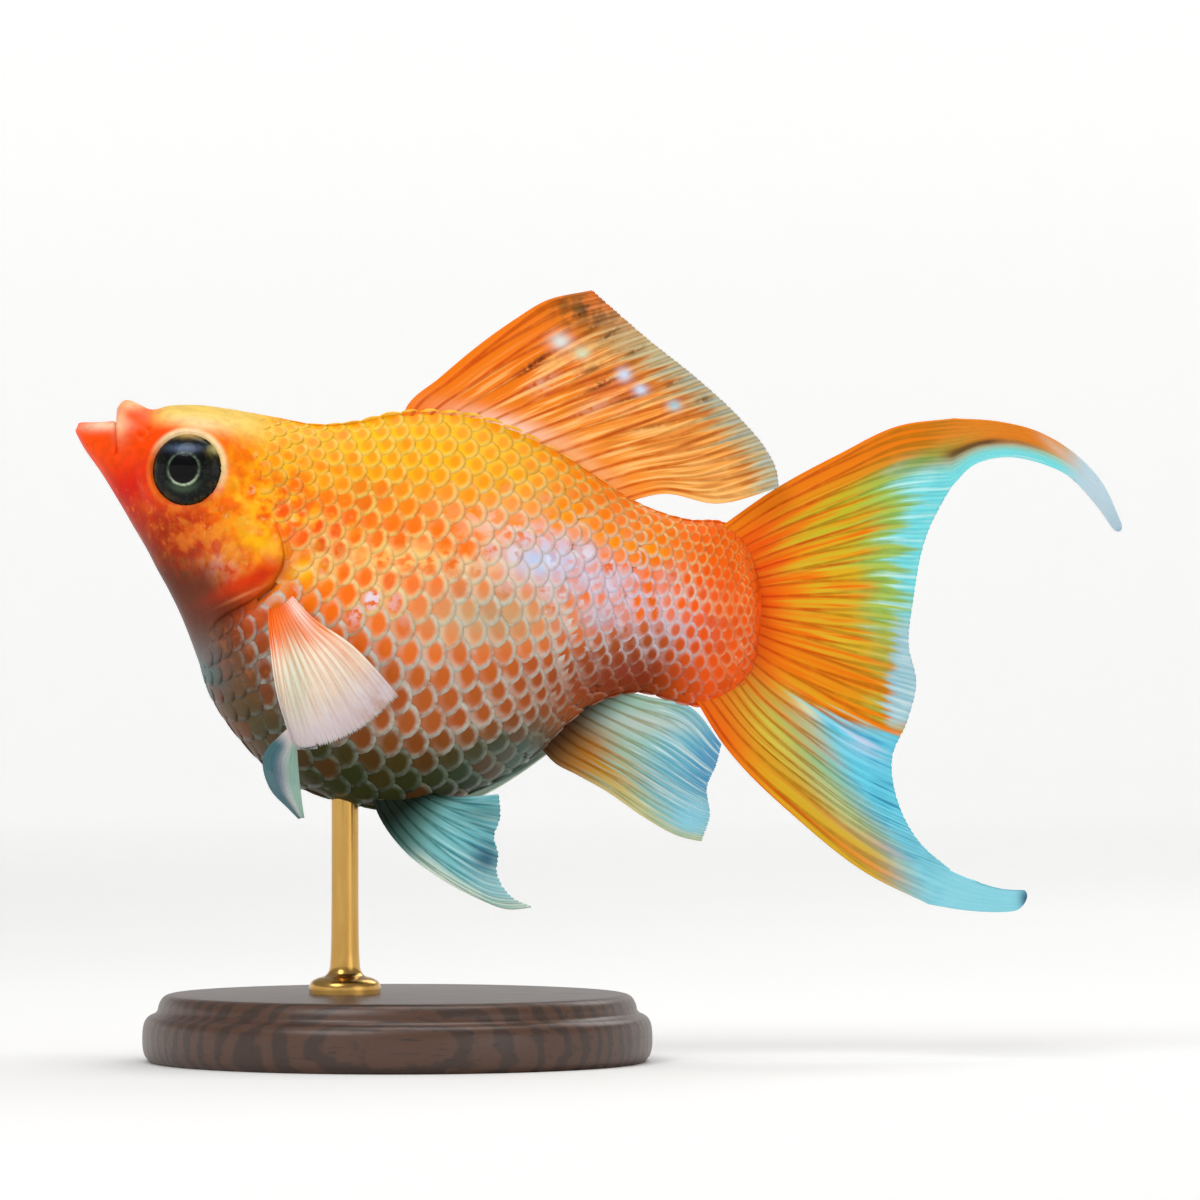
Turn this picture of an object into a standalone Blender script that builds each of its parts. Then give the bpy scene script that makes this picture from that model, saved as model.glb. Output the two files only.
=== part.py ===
"""A balloon lyretail molly at life size, swimming in a museum pose on a turned base.

Sizes are in millimetres in the fish's own frame, and are scaled to metres when a mesh is made.
In that frame x runs aft from the tip of the lower jaw, y points to the fish's right and z up from the
lowest fin tip. place() moves it over the base, with the origin under the middle of the whole part.
"""

import math

import bmesh
import bpy
import numpy as np

MM = 0.001
GAP = 0.3

TOTAL_LENGTH = 69.8
LIFT = 10.0

# The lower jaw and then the body, as slices from back to belly. Each slice has its point on the
# back line and on the belly line (x, z), its half width, how far down its widest level lies, from
# 0 at the back to 1 at the belly, and how full its sides are: 0.5 is nearly oval, more is leaner.
JAW_SLICES = (
    ((0.12, 32.25), (0.12, 31.75), 0.55, 0.50, 0.55),
    ((0.60, 32.50), (0.70, 30.70), 1.25, 0.48, 0.52),
    ((1.60, 32.70), (1.90, 29.00), 1.85, 0.45, 0.50),
    ((2.60, 32.95), (3.00, 27.15), 2.35, 0.45, 0.50),
)
BODY_SLICES = (
    ((2.85, 33.50), (3.15, 26.95), 2.35, 0.46, 0.50),
    ((3.60, 34.05), (3.80, 25.80), 2.80, 0.44, 0.47),
    ((5.10, 33.45), (4.80, 24.10), 3.45, 0.42, 0.44),
    ((6.40, 33.70), (5.50, 22.75), 3.95, 0.41, 0.42),
    ((8.40, 33.72), (6.30, 21.30), 4.45, 0.42, 0.43),
    ((10.75, 33.40), (7.20, 19.40), 5.05, 0.46, 0.47),
    ((13.25, 32.95), (8.15, 16.90), 5.75, 0.52, 0.53),
    ((15.95, 32.40), (9.10, 14.25), 6.45, 0.56, 0.57),
    ((18.60, 32.50), (10.95, 11.55), 7.10, 0.58, 0.60),
    ((21.25, 33.05), (13.60, 9.00), 7.60, 0.60, 0.61),
    ((23.95, 33.20), (17.25, 7.45), 7.90, 0.60, 0.62),
    ((26.95, 32.85), (21.25, 6.80), 7.90, 0.59, 0.62),
    ((29.95, 31.75), (25.25, 7.45), 7.40, 0.57, 0.62),
    ((32.95, 30.10), (28.95, 9.20), 6.60, 0.55, 0.62),
    ((35.25, 28.60), (31.10, 10.80), 5.75, 0.52, 0.62),
    ((37.05, 27.45), (32.90, 12.60), 5.00, 0.50, 0.63),
    ((38.95, 26.60), (35.10, 14.10), 4.15, 0.50, 0.64),
    ((40.95, 26.05), (37.75, 14.65), 3.20, 0.50, 0.65),
    ((43.05, 25.90), (41.40, 13.80), 2.35, 0.50, 0.65),
    ((44.35, 25.00), (43.80, 14.60), 1.85, 0.50, 0.62),
    ((45.20, 23.45), (45.10, 16.15), 1.55, 0.50, 0.58),
    ((45.80, 21.20), (45.75, 18.50), 1.20, 0.50, 0.50),
)
GILL_SLICE = 6.0
GILL_REACH = 1.6
GILL_LEVEL = 0.48
GILL_SPREAD_ABOVE = 0.18
GILL_SPREAD_BELOW = 0.26
GILL_COVER_RISE = 0.45
GILL_COVER_START = 3.4
CHEEK_FOLD = 0.16
STALK_SLICE = 16.0
LAST_SLICE = len(BODY_SLICES) - 1
CUT_WIDTH = 0.12

EYE_X, EYE_Z = 7.67, 29.35
EYE_RADIUS = 2.38
EYE_DEPTH = 1.55
EYE_SINK = 0.80
ORBIT_RADIUS = 2.80
ORBIT_ROLL = 0.21

LIP_CORNER_LEVEL = 0.46
UPPER_LIP_ROLL = 0.34
LOWER_LIP_ROLL = 0.22
NOSTRILS = ((4.55, 31.75, 0.24), (5.05, 32.15, 0.19))

MEMBRANE = 0.52
RAY_RISE = 0.13
FIN_ROOT = 1.10
ROOT_SINK = 1.00

BASE_RADIUS = 17.0
BASE_HEIGHT = 4.5
BASE_X = 21.5
ROD_RADIUS = 0.9
ROD_X = 18.0
ROD_FOOT_RADIUS = 2.4
ROD_FOOT_HEIGHT = 0.8

COLOURS = {
    "skin_gold": ((0.95, 0.38, 0.03), 0.35, 0.0),
    "skin_face": ((0.90, 0.16, 0.01), 0.35, 0.0),
    "skin_belly": ((0.62, 0.36, 0.16), 0.38, 0.0),
    "fin_orange": ((0.95, 0.42, 0.08), 0.40, 0.0),
    "fin_blue": ((0.35, 0.75, 0.80), 0.40, 0.0),
    "fin_white": ((0.90, 0.82, 0.72), 0.40, 0.0),
    "eye": ((0.02, 0.03, 0.02), 0.08, 0.0),
    "walnut": ((0.16, 0.08, 0.04), 0.45, 0.0),
    "brass": ((0.72, 0.52, 0.24), 0.25, 1.0),
}


def clear_scene():
    for obj in list(bpy.data.objects):
        bpy.data.objects.remove(obj)


def material(name):
    found = bpy.data.materials.get(name)
    if found:
        return found
    colour, roughness, metallic = COLOURS[name]
    made = bpy.data.materials.new(name)
    made.use_nodes = True
    shader = made.node_tree.nodes["Principled BSDF"]
    shader.inputs["Base Color"].default_value = (*colour, 1.0)
    shader.inputs["Roughness"].default_value = roughness
    shader.inputs["Metallic"].default_value = metallic
    return made


def place(points):
    """Fish frame in millimetres to the part's frame in metres."""
    moved = np.array(points, float)
    moved[..., 0] -= TOTAL_LENGTH / 2
    moved[..., 2] += LIFT
    return moved * MM


def add_object(name, points, faces, finish):
    mesh = bpy.data.meshes.new(name)
    mesh.from_pydata([tuple(p) for p in place(points)], [], faces)
    mesh.materials.append(material(finish))
    mesh.validate()
    made = bpy.data.objects.new(name, mesh)
    bpy.context.scene.collection.objects.link(made)
    solid = bmesh.new()
    solid.from_mesh(mesh)
    bmesh.ops.recalc_face_normals(solid, faces=solid.faces)
    if solid.calc_volume(signed=True) < 0:
        bmesh.ops.reverse_faces(solid, faces=solid.faces)
    solid.to_mesh(mesh)
    solid.free()
    return made


def hide_helper(obj):
    obj.hide_render = True
    obj.display_type = "WIRE"


def apply_modifiers(obj):
    graph = bpy.context.evaluated_depsgraph_get()
    done = bpy.data.meshes.new_from_object(obj.evaluated_get(graph))
    obj.modifiers.clear()
    obj.data = done


def keep_largest(obj):
    """Leaves only the closed surface with the largest box, and so fills hollows and drops scraps."""
    solid = bmesh.new()
    solid.from_mesh(obj.data)
    left = set(solid.verts)
    best, best_size = set(), -1.0
    while left:
        seed = left.pop()
        island, edge = {seed}, [seed]
        while edge:
            for link in edge.pop().link_edges:
                for vert in link.verts:
                    if vert in left:
                        left.remove(vert)
                        island.add(vert)
                        edge.append(vert)
        corners = np.array([vert.co[:] for vert in island])
        size = float(np.prod(corners.max(0) - corners.min(0) + 1e-6))
        if size > best_size:
            best, best_size = island, size
    bmesh.ops.delete(solid, geom=[v for v in solid.verts if v not in best], context="VERTS")
    solid.to_mesh(obj.data)
    solid.free()


def boolean(obj, others, operation, solver="EXACT"):
    """Joins the others to obj or cuts them from it, in one Boolean on their collection."""
    group = bpy.data.collections.new("operands")
    for other in others:
        group.objects.link(other)
    step = obj.modifiers.new(operation.lower(), "BOOLEAN")
    step.operation = operation
    step.operand_type = "COLLECTION"
    step.collection = group
    step.solver = solver
    bpy.context.view_layer.update()
    apply_modifiers(obj)
    keep_largest(obj)
    bpy.data.collections.remove(group)


def fuse(obj, pieces, solver="EXACT"):
    boolean(obj, pieces, "UNION", solver)
    for piece in pieces:
        bpy.data.objects.remove(piece)


def shade_round(obj, degrees=38):
    obj.data.shade_smooth()
    obj.data.set_sharp_from_angle(angle=math.radians(degrees))


def curve_through(points):
    """A smooth curve through the points, as a function of 0 to 1 that is even along its length."""
    through = np.array(points, float)
    steps = np.linalg.norm(np.diff(through, axis=0), axis=1)
    knots = np.concatenate([[0.0], np.cumsum(steps)])
    slopes = np.gradient(through, knots, axis=0)

    def at(share):
        place_on = np.clip(np.asarray(share, float), 0, 1) * knots[-1]
        return hermite(through, slopes, knots, place_on)

    return at


def hermite(values, slopes, knots, where):
    index = np.clip(np.searchsorted(knots, where, side="right") - 1, 0, len(knots) - 2)
    width = knots[index + 1] - knots[index]
    q = ((where - knots[index]) / width)[..., None]
    width = width[..., None]
    first = (2 * q**3 - 3 * q**2 + 1) * values[index]
    rise = (q**3 - 2 * q**2 + q) * width * slopes[index]
    last = (-2 * q**3 + 3 * q**2) * values[index + 1]
    fall = (q**3 - q**2) * width * slopes[index + 1]
    return first + rise + last + fall


def slices_at(table, where):
    """The table's seven numbers at any slice number, between its rows too."""
    rows = np.array([[*back, *belly, *rest] for back, belly, *rest in table])
    knots = np.arange(len(rows), dtype=float)
    slopes = np.gradient(rows, knots, axis=0)
    return hermite(rows, slopes, knots, np.asarray(where, float))


def level_of(angle):
    """How far down a slice an angle round it lies, from 0 at the back to 1 at the belly."""
    return (1 - np.cos(angle)) / 2


def skin(table, where, angle):
    """Points on the skin. The angle is 0 at the back and runs down the fish's left side."""
    row = slices_at(table, where)
    level = level_of(angle)
    back, belly = row[..., 0:2], row[..., 2:4]
    half, widest, lean = row[..., 4], row[..., 5], row[..., 6]
    bend = math.log(0.5) / np.log(widest)
    swell = np.sin(np.pi * np.clip(level, 1e-9, 1 - 1e-9) ** bend) ** lean
    side = -np.sign(np.sin(angle))
    middle = back + (belly - back) * level[..., None]
    return np.stack([middle[..., 0], side * half * swell, middle[..., 1]], axis=-1)


def gill_edge(level):
    """The slice number at which the gill cover ends, at each level of the side."""
    above = level < GILL_LEVEL
    spread = np.where(above, GILL_SPREAD_ABOVE, GILL_SPREAD_BELOW)
    return GILL_SLICE + GILL_REACH * np.exp(-(((level - GILL_LEVEL) / spread) ** 2))


def outward(rings):
    """The direction away from the body at each point of a set of rings."""
    along = np.gradient(rings, axis=0)
    closed = np.concatenate([rings[:, -1:], rings, rings[:, :1]], axis=1)
    round_it = (closed[:, 2:] - closed[:, :-2]) / 2
    normal = np.cross(along, round_it)
    length = np.linalg.norm(normal, axis=2, keepdims=True)
    normal = normal / np.maximum(length, 1e-9)
    middle = rings.mean(axis=1, keepdims=True)
    facing = np.sign(((rings - middle) * normal).sum(axis=2, keepdims=True))
    return normal * np.where(facing == 0, 1, facing)


def loft(name, rings, finish, front, rear):
    """A closed solid over the rings, with each end drawn in to one point."""
    count, around = rings.shape[:2]
    points = [*rings.reshape(-1, 3), front, rear]
    faces = []
    for i in range(count - 1):
        for j in range(around):
            k = (j + 1) % around
            a, b = i * around + j, i * around + k
            faces += [(a, b, a + around), (b, b + around, a + around)]
    first, last = count * around, count * around + 1
    for j in range(around):
        k = (j + 1) % around
        faces.append((first, k, j))
        faces.append((last, (count - 1) * around + j, (count - 1) * around + k))
    return add_object(name, points, faces, finish)


def angles_round(count):
    return np.arange(count) * 2 * math.pi / count


def grid_of(starts, ends, rows, angles):
    """Slice numbers and angles for rings that run from one edge to another."""
    share = np.linspace(0, 1, rows)[:, None]
    where = starts[None, :] * (1 - share) + ends[None, :] * share
    return where, np.broadcast_to(angles[None, :], where.shape)


def whole_body(name, swell):
    """The whole body in one piece, swollen outwards, to cut its neighbours clear of it."""
    angles = angles_round(40)
    where, turned = grid_of(np.zeros(40), np.full(40, float(LAST_SLICE)), 46, angles)
    rings = skin(BODY_SLICES, where, turned)
    rings = rings + outward(rings) * swell
    front = rings[0].mean(axis=0) - (swell, 0, 0)
    rear = rings[-1].mean(axis=0) + (swell, 0, 0)
    return loft(name, rings, "skin_gold", front, rear)


def tube(name, path, radii, finish, sides=8):
    """A round bead along a path, thinner where the radii say, with pointed ends."""
    path = np.array(path, float)
    ahead = np.gradient(path, axis=0)
    ahead /= np.linalg.norm(ahead, axis=1, keepdims=True)
    closed = np.allclose(path[0], path[-1])
    if closed:
        path, ahead, radii = path[:-1], ahead[:-1], radii[:-1]
    side = np.cross(ahead, (0.31, 0.17, 0.93))
    side /= np.linalg.norm(side, axis=1, keepdims=True)
    other = np.cross(ahead, side)
    turn = angles_round(sides)
    spread = np.cos(turn)[None, :, None] * side[:, None] + np.sin(turn)[None, :, None] * other[:, None]
    rings = path[:, None] + np.array(radii)[:, None, None] * spread
    if not closed:
        return loft(name, rings, finish, path[0], path[-1])
    count = len(path)
    faces = []
    for i in range(count):
        for j in range(sides):
            k, below = (j + 1) % sides, (i + 1) % count
            a, b = i * sides + j, i * sides + k
            c, d = below * sides + j, below * sides + k
            faces += [(a, b, c), (b, d, c)]
    return add_object(name, rings.reshape(-1, 3), faces, finish)


def ellipsoid(name, centre, radii, finish, around=28, rows=14):
    down = np.linspace(0, math.pi, rows + 1)[1:-1]
    turn = angles_round(around)
    # The poles lie on y, so that the eye's rings run round its pupil.
    x = centre[0] + radii[0] * np.sin(down)[:, None] * np.cos(turn)[None, :]
    z = centre[2] + radii[2] * np.sin(down)[:, None] * np.sin(turn)[None, :]
    y = np.broadcast_to(centre[1] + radii[1] * np.cos(down)[:, None], x.shape)
    rings = np.stack([x, y, z], axis=-1)
    near = (centre[0], centre[1] + radii[1], centre[2])
    far = (centre[0], centre[1] - radii[1], centre[2])
    return loft(name, rings, finish, near, far)


def slice_and_level(x, z):
    """The slice number and the angle at which the side view of the skin passes a point."""
    where = np.linspace(0, LAST_SLICE, 1200)
    rows = slices_at(BODY_SLICES, where)
    back, belly = rows[:, 0:2], rows[:, 2:4]
    along = belly - back
    spare = np.array([x, z]) - back
    level = (spare * along).sum(1) / (along**2).sum(1)
    miss = np.linalg.norm(spare - along * level[:, None], axis=1)
    best = int(np.argmin(miss + 10 * np.maximum(0, np.abs(level - 0.5) - 0.5)))
    return where[best], math.acos(1 - 2 * min(max(level[best], 0.0), 1.0))


def skin_beside(x, z, side):
    """The point of the skin beside a place in the side view, on side -1 for left or 1 for right."""
    where, angle = slice_and_level(x, z)
    found = skin(BODY_SLICES, np.array(where), np.array(angle))
    return np.array([x, side * abs(found[1]), z])


def make_lower_jaw():
    around = 32
    angles = angles_round(around)
    last = len(JAW_SLICES) - 1.0
    where, turned = grid_of(np.zeros(around), np.full(around, last), 11, angles)
    rings = skin(JAW_SLICES, where, turned)
    level = level_of(turned)
    # The lip is a low roll round the rim, and the floor of the mouth lies below it.
    roll = np.exp(-(((level - 0.13) / 0.09) ** 2)) * np.clip(where * 1.5, 0, 1)
    floor = np.exp(-((level / 0.05) ** 2)) * np.clip(where / last, 0, 1)
    rings = rings + outward(rings) * (LOWER_LIP_ROLL * roll)[..., None]
    rings[..., 2] += 0.10 * roll - 0.40 * floor
    front = rings[0].mean(axis=0) - (0.10, 0, 0)
    return loft("lower_jaw", rings, "skin_face", front, rings[-1].mean(axis=0))


def make_head():
    around = 44
    angles = angles_round(around)
    ends = gill_edge(level_of(angles))
    where, turned = grid_of(np.zeros(around), ends, 21, angles)
    # The rings crowd towards the lips.
    where = ends[None, :] * (where / ends[None, :]) ** 1.25
    rings = skin(BODY_SLICES, where, turned)
    relief = gill_cover_rise(where, turned) + upper_lip_rise(where, turned)
    rings = rings + outward(rings) * relief[..., None]
    front = rings[0].mean(axis=0) + (0.6, 0, 0)
    head = loft("head", rings, "skin_face", front, rings[-1].mean(axis=0))
    fuse(head, [orbit_rim(side) for side in (-1, 1)])
    sockets = [eyeball(f"socket_cutter_{side}", side, GAP, 28, 10) for side in (-1, 1)]
    pits = [nostril_pit(side, *pit) for side in (-1, 1) for pit in NOSTRILS]
    cutters = sockets + pits
    boolean(head, cutters, "DIFFERENCE")
    for cutter in cutters:
        bpy.data.objects.remove(cutter)
    return head


def gill_cover_rise(where, turned):
    """How far the gill cover stands out of the head's side, most at its rear edge."""
    level = level_of(turned)
    edge = gill_edge(level)
    share = np.clip((where - GILL_COVER_START) / (edge - GILL_COVER_START), 0, 1)
    band = np.exp(-(((level - 0.55) / 0.24) ** 4))
    fold = np.exp(-(((where - GILL_COVER_START - 1.1) / 0.35) ** 2)) * band
    return GILL_COVER_RISE * band * share**3 - CHEEK_FOLD * fold


def upper_lip_rise(where, turned):
    """The thick upper lip, which runs down each side to the corner of the mouth and fades there."""
    level = level_of(turned)
    reach = np.clip((LIP_CORNER_LEVEL - level) / 0.14, 0, 1)
    rounded = np.exp(-(((where - 0.45) / 0.42) ** 2))
    return UPPER_LIP_ROLL * rounded * reach * (0.35 + 0.65 * np.clip(level / 0.25, 0, 1))


def orbit_rim(side):
    """The low ring of skin round the eye."""
    turn = np.linspace(0, 2 * math.pi, 29)
    path = [
        skin_beside(EYE_X + ORBIT_RADIUS * math.cos(t), EYE_Z + ORBIT_RADIUS * math.sin(t), side)
        for t in turn
    ]
    path[-1] = path[0]
    sunk = eye_axis(side) * 0.08
    return tube(f"orbit_{side}", np.array(path) - sunk, np.full(29, ORBIT_ROLL), "skin_face", sides=6)


def nostril_pit(side, x, z, radius):
    return ellipsoid(
        f"nostril_cutter_{side}_{x}", skin_beside(x, z, side), (radius,) * 3, "eye", 10, 8
    )


def make_torso():
    around = 44
    angles = angles_round(around)
    starts = gill_edge(level_of(angles)) + CUT_WIDTH
    where, turned = grid_of(starts, np.full(around, STALK_SLICE), 22, angles)
    rings = skin(BODY_SLICES, where, turned)
    front = rings[0].mean(axis=0) + (0.15, 0, 0)
    return loft("torso", rings, "skin_gold", front, rings[-1].mean(axis=0))


def make_tail_stalk():
    around = 32
    angles = angles_round(around)
    first = STALK_SLICE + CUT_WIDTH * 1.3
    where, turned = grid_of(np.full(around, first), np.full(around, float(LAST_SLICE)), 12, angles)
    rings = skin(BODY_SLICES, where, turned)
    rear = rings[-1].mean(axis=0) + (0.05, 0, 0)
    return loft("tail_stalk", rings, "skin_gold", rings[0].mean(axis=0), rear)


def eye_axis(side):
    """The way an eye looks: square to the skin beside it, so mostly sideways and a little forward and up."""
    where, angle = slice_and_level(EYE_X, EYE_Z)
    spots = skin(
        BODY_SLICES, np.array([where, where + 0.4, where - 0.4, where]), angle + np.array([0, 0, 0, 0.15])
    )
    normal = np.cross(spots[1] - spots[2], spots[3] - spots[0])
    normal /= np.linalg.norm(normal)
    normal *= np.sign(-normal[1])
    return normal * (1, -side, 1)


def eyeball(name, side, swell, around, rows):
    """A flattened ball with its poles along the eye's axis, so that its rings run round the pupil."""
    axis = eye_axis(side)
    centre = skin_beside(EYE_X, EYE_Z, side) - axis * EYE_SINK
    across = np.cross((0, 0, 1), axis)
    across /= np.linalg.norm(across)
    upward = np.cross(axis, across)
    down = np.linspace(0, math.pi, rows + 1)[1:-1]
    turn = angles_round(around)
    wide, deep = EYE_RADIUS + swell, EYE_DEPTH + swell
    ring = np.cos(turn)[:, None] * across + np.sin(turn)[:, None] * upward
    rings = np.sin(down)[:, None, None] * wide * ring + np.cos(down)[:, None, None] * deep * axis
    return loft(name, centre + rings, "eye", centre + deep * axis, centre - deep * axis)


def make_eye(name, side):
    return eyeball(name, side, 0.0, 28, 12)


def patch(first_ray, last_ray, root, margin):
    """A fin's outline as a function of u, from root to margin, and v, from the first ray to the last."""

    def at(u, v):
        u, v = u[..., None], v[..., None]
        one, two = first_ray(u[..., 0]), last_ray(u[..., 0])
        low, high = root(v[..., 0]), margin(v[..., 0])
        corners = (1 - u) * ((1 - v) * root(0.0) + v * root(1.0))
        corners = corners + u * ((1 - v) * margin(0.0) + v * margin(1.0))
        return (1 - v) * one + v * two + (1 - u) * low + u * high - corners

    return at


def blade_normals(middle):
    along = np.gradient(middle, axis=0)
    across = np.gradient(middle, axis=1)
    normal = np.cross(along, across)
    return normal / np.maximum(np.linalg.norm(normal, axis=2, keepdims=True), 1e-9)


def blade(name, middle, half, finish, cells=None):
    """A thin solid on both sides of a sheet of points, split into triangles alike on both faces."""
    rows, columns = middle.shape[:2]
    if cells is None:
        cells = np.ones((rows - 1, columns - 1), bool)
    normal = blade_normals(middle)
    front, back = middle + normal * half[..., None], middle - normal * half[..., None]
    size = rows * columns
    faces, edges = [], {}
    for i in range(rows - 1):
        for j in range(columns - 1):
            if not cells[i, j]:
                continue
            a = i * columns + j
            b, c, d = a + 1, a + columns + 1, a + columns
            faces += [(a, b, c), (a, c, d), (size + a, size + c, size + b), (size + a, size + d, size + c)]
            for start, end in ((a, b), (b, c), (c, d), (d, a)):
                if (end, start) in edges:
                    del edges[end, start]
                else:
                    edges[start, end] = True
    for start, end in edges:
        faces += [(end, start, size + start), (end, size + start, size + end)]
    points = np.concatenate([front.reshape(-1, 3), back.reshape(-1, 3)])
    used = sorted({i for face in faces for i in face})
    number = {old: new for new, old in enumerate(used)}
    return add_object(name, points[used], [tuple(number[i] for i in face) for face in faces], finish)


def ridged(u, crest, root_half=FIN_ROOT / 2, tip_share=0.55):
    """Half the thickness of a fin: the membrane, the rays that stand on it, and its fleshy root."""
    fleshy = np.exp(-((np.clip(u, 0, None) / 0.10) ** 2))
    thin = 1 - (1 - tip_share) * np.clip((u - 0.75) / 0.25, 0, 1) ** 2
    sheet = MEMBRANE / 2 * thin + RAY_RISE * crest * thin
    return sheet + (root_half - MEMBRANE / 2) * fleshy


def crests(columns):
    """1 on each ray and 0 on the membrane between two rays."""
    return (np.arange(columns) % 2 == 1).astype(float)


def scalloped(u, crest, depth):
    """The rays' ends reach a little past the membrane between them."""
    return u - depth * (1 - crest) * np.clip((u - 0.8) / 0.2, 0, 1)


def fin_grid(rows, rays):
    u = np.linspace(0, 1, rows + 1)[:, None]
    v = np.linspace(0, 1, 2 * rays + 1)[None, :]
    return np.broadcast_to(u, (rows + 1, 2 * rays + 1)), np.broadcast_to(v, (rows + 1, 2 * rays + 1))


def in_space(flat, side_way):
    """Puts a fin's side view (x, z) into space, with its sideways place beside it."""
    return np.stack([flat[..., 0], side_way, flat[..., 1]], axis=-1)


def clear_of_body(fin, body):
    boolean(fin, [body], "DIFFERENCE", "MANIFOLD")
    return fin


def make_dorsal_fin(body):
    rays, rows = 13, 8
    root_from, root_to = 9.15, 14.45

    def root(v):
        numbers = root_from + (root_to - root_from) * np.asarray(v)
        return slices_at(BODY_SLICES, numbers)[..., 0:2] - (0.0, ROOT_SINK)

    lead = curve_through(
        [root(0.0), (22.1, 33.6), (24.3, 35.55), (27.4, 38.1), (29.4, 39.5), (31.3, 40.65), (34.5, 41.4)]
    )
    trail = curve_through([root(1.0), (39.3, 27.8), (42.7, 27.15), (46.9, 28.2)])
    margin = curve_through(
        [(34.5, 41.4), (38.45, 37.95), (41.5, 35.5), (44.5, 32.7), (46.0, 30.9), (46.75, 29.4), (46.9, 28.2)]
    )
    u, v = fin_grid(rows, rays)
    crest = crests(2 * rays + 1)[None, :]
    flat = patch(lead, trail, root, margin)(scalloped(u, crest, 0.025), v)
    lean = -0.9 * u**2 * v**2 - 0.9 * np.clip(v - 0.8, 0, 1) * 5 * u * (1 - 0.3 * u)
    ripple = 0.22 * u * np.sin(v * 9.0 + 0.6)
    fin = blade("dorsal_fin", in_space(flat, lean + ripple), ridged(u, crest), "fin_orange")
    return clear_of_body(fin, body)


def make_anal_fin(body):
    rays, rows = 9, 8
    root_from, root_to = 13.6, 16.0

    def root(v):
        numbers = root_from + (root_to - root_from) * np.asarray(v)
        row = slices_at(BODY_SLICES, numbers)
        inward = (row[..., 0:2] - row[..., 2:4]) * 0.07
        return row[..., 2:4] + inward

    lead = curve_through([root(0.0), (32.0, 9.85), (33.4, 9.1), (35.3, 8.05), (38.3, 6.0), (40.3, 4.95), (41.8, 4.6)])
    trail = curve_through([root(1.0), (38.2, 14.3), (41.0, 13.6), (43.1, 11.1)])
    margin = curve_through([(41.8, 4.6), (42.35, 6.3), (42.15, 8.2), (42.8, 9.8), (43.1, 11.1)])
    u, v = fin_grid(rows, rays)
    crest = crests(2 * rays + 1)[None, :]
    flat = patch(lead, trail, root, margin)(scalloped(u, crest, 0.03), v)
    lean = 0.7 * u**2 * (1 - v) - 0.5 * u * v
    ripple = 0.18 * u * np.sin(v * 8.0)
    fin = blade("anal_fin", in_space(flat, lean + ripple), ridged(u, crest), "fin_blue")
    return clear_of_body(fin, body)


def make_pelvic_fin(name, side, edges, spread, body):
    """One of the paired fins under the belly. Its edges are its first ray, last ray and margin."""
    rays, rows = 6, 8
    first, last, rim = edges
    lead, trail = curve_through(first), curve_through(last)
    root = curve_through([first[0], last[0]])
    margin = curve_through([first[-1], *rim, last[-1]])
    u, v = fin_grid(rows, rays)
    crest = crests(2 * rays + 1)[None, :]
    flat = patch(lead, trail, root, margin)(scalloped(u, crest, 0.03), v)
    start, flare, lift = spread
    side_way = side * (start + flare * u + lift * v * np.clip(u * 2.5, 0, 1))
    ripple = 0.15 * u * np.sin(v * 7.0)
    fin = blade(name, in_space(flat, side_way + ripple), ridged(u, crest), "fin_blue")
    return clear_of_body(fin, body)


def make_pelvic_fins(body):
    """The left fin hangs spread, and the right one lies folded along the belly."""
    hanging = (
        ((19.7, 7.9), (20.4, 6.2), (22.2, 3.9), (24.2, 2.4), (26.7, 1.05), (29.0, 0.25), (30.6, 0.4)),
        ((22.9, 8.1), (25.3, 7.7), (28.3, 7.9)),
        ((29.2, 1.05), (28.2, 2.6), (28.25, 4.1), (28.0, 4.9), (28.4, 6.4)),
    )
    folded = (
        ((20.6, 8.0), (23.6, 6.75), (27.0, 7.6), (29.4, 8.95), (31.5, 10.45)),
        ((22.6, 8.6), (25.6, 10.4), (29.2, 12.4)),
        ((31.0, 11.2), (30.2, 12.1)),
    )
    return [
        make_pelvic_fin("pelvic_fin_left", -1, hanging, (1.5, 3.0, 0.4), body),
        make_pelvic_fin("pelvic_fin_right", 1, folded, (1.9, 1.2, 4.9), body),
    ]


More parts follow.
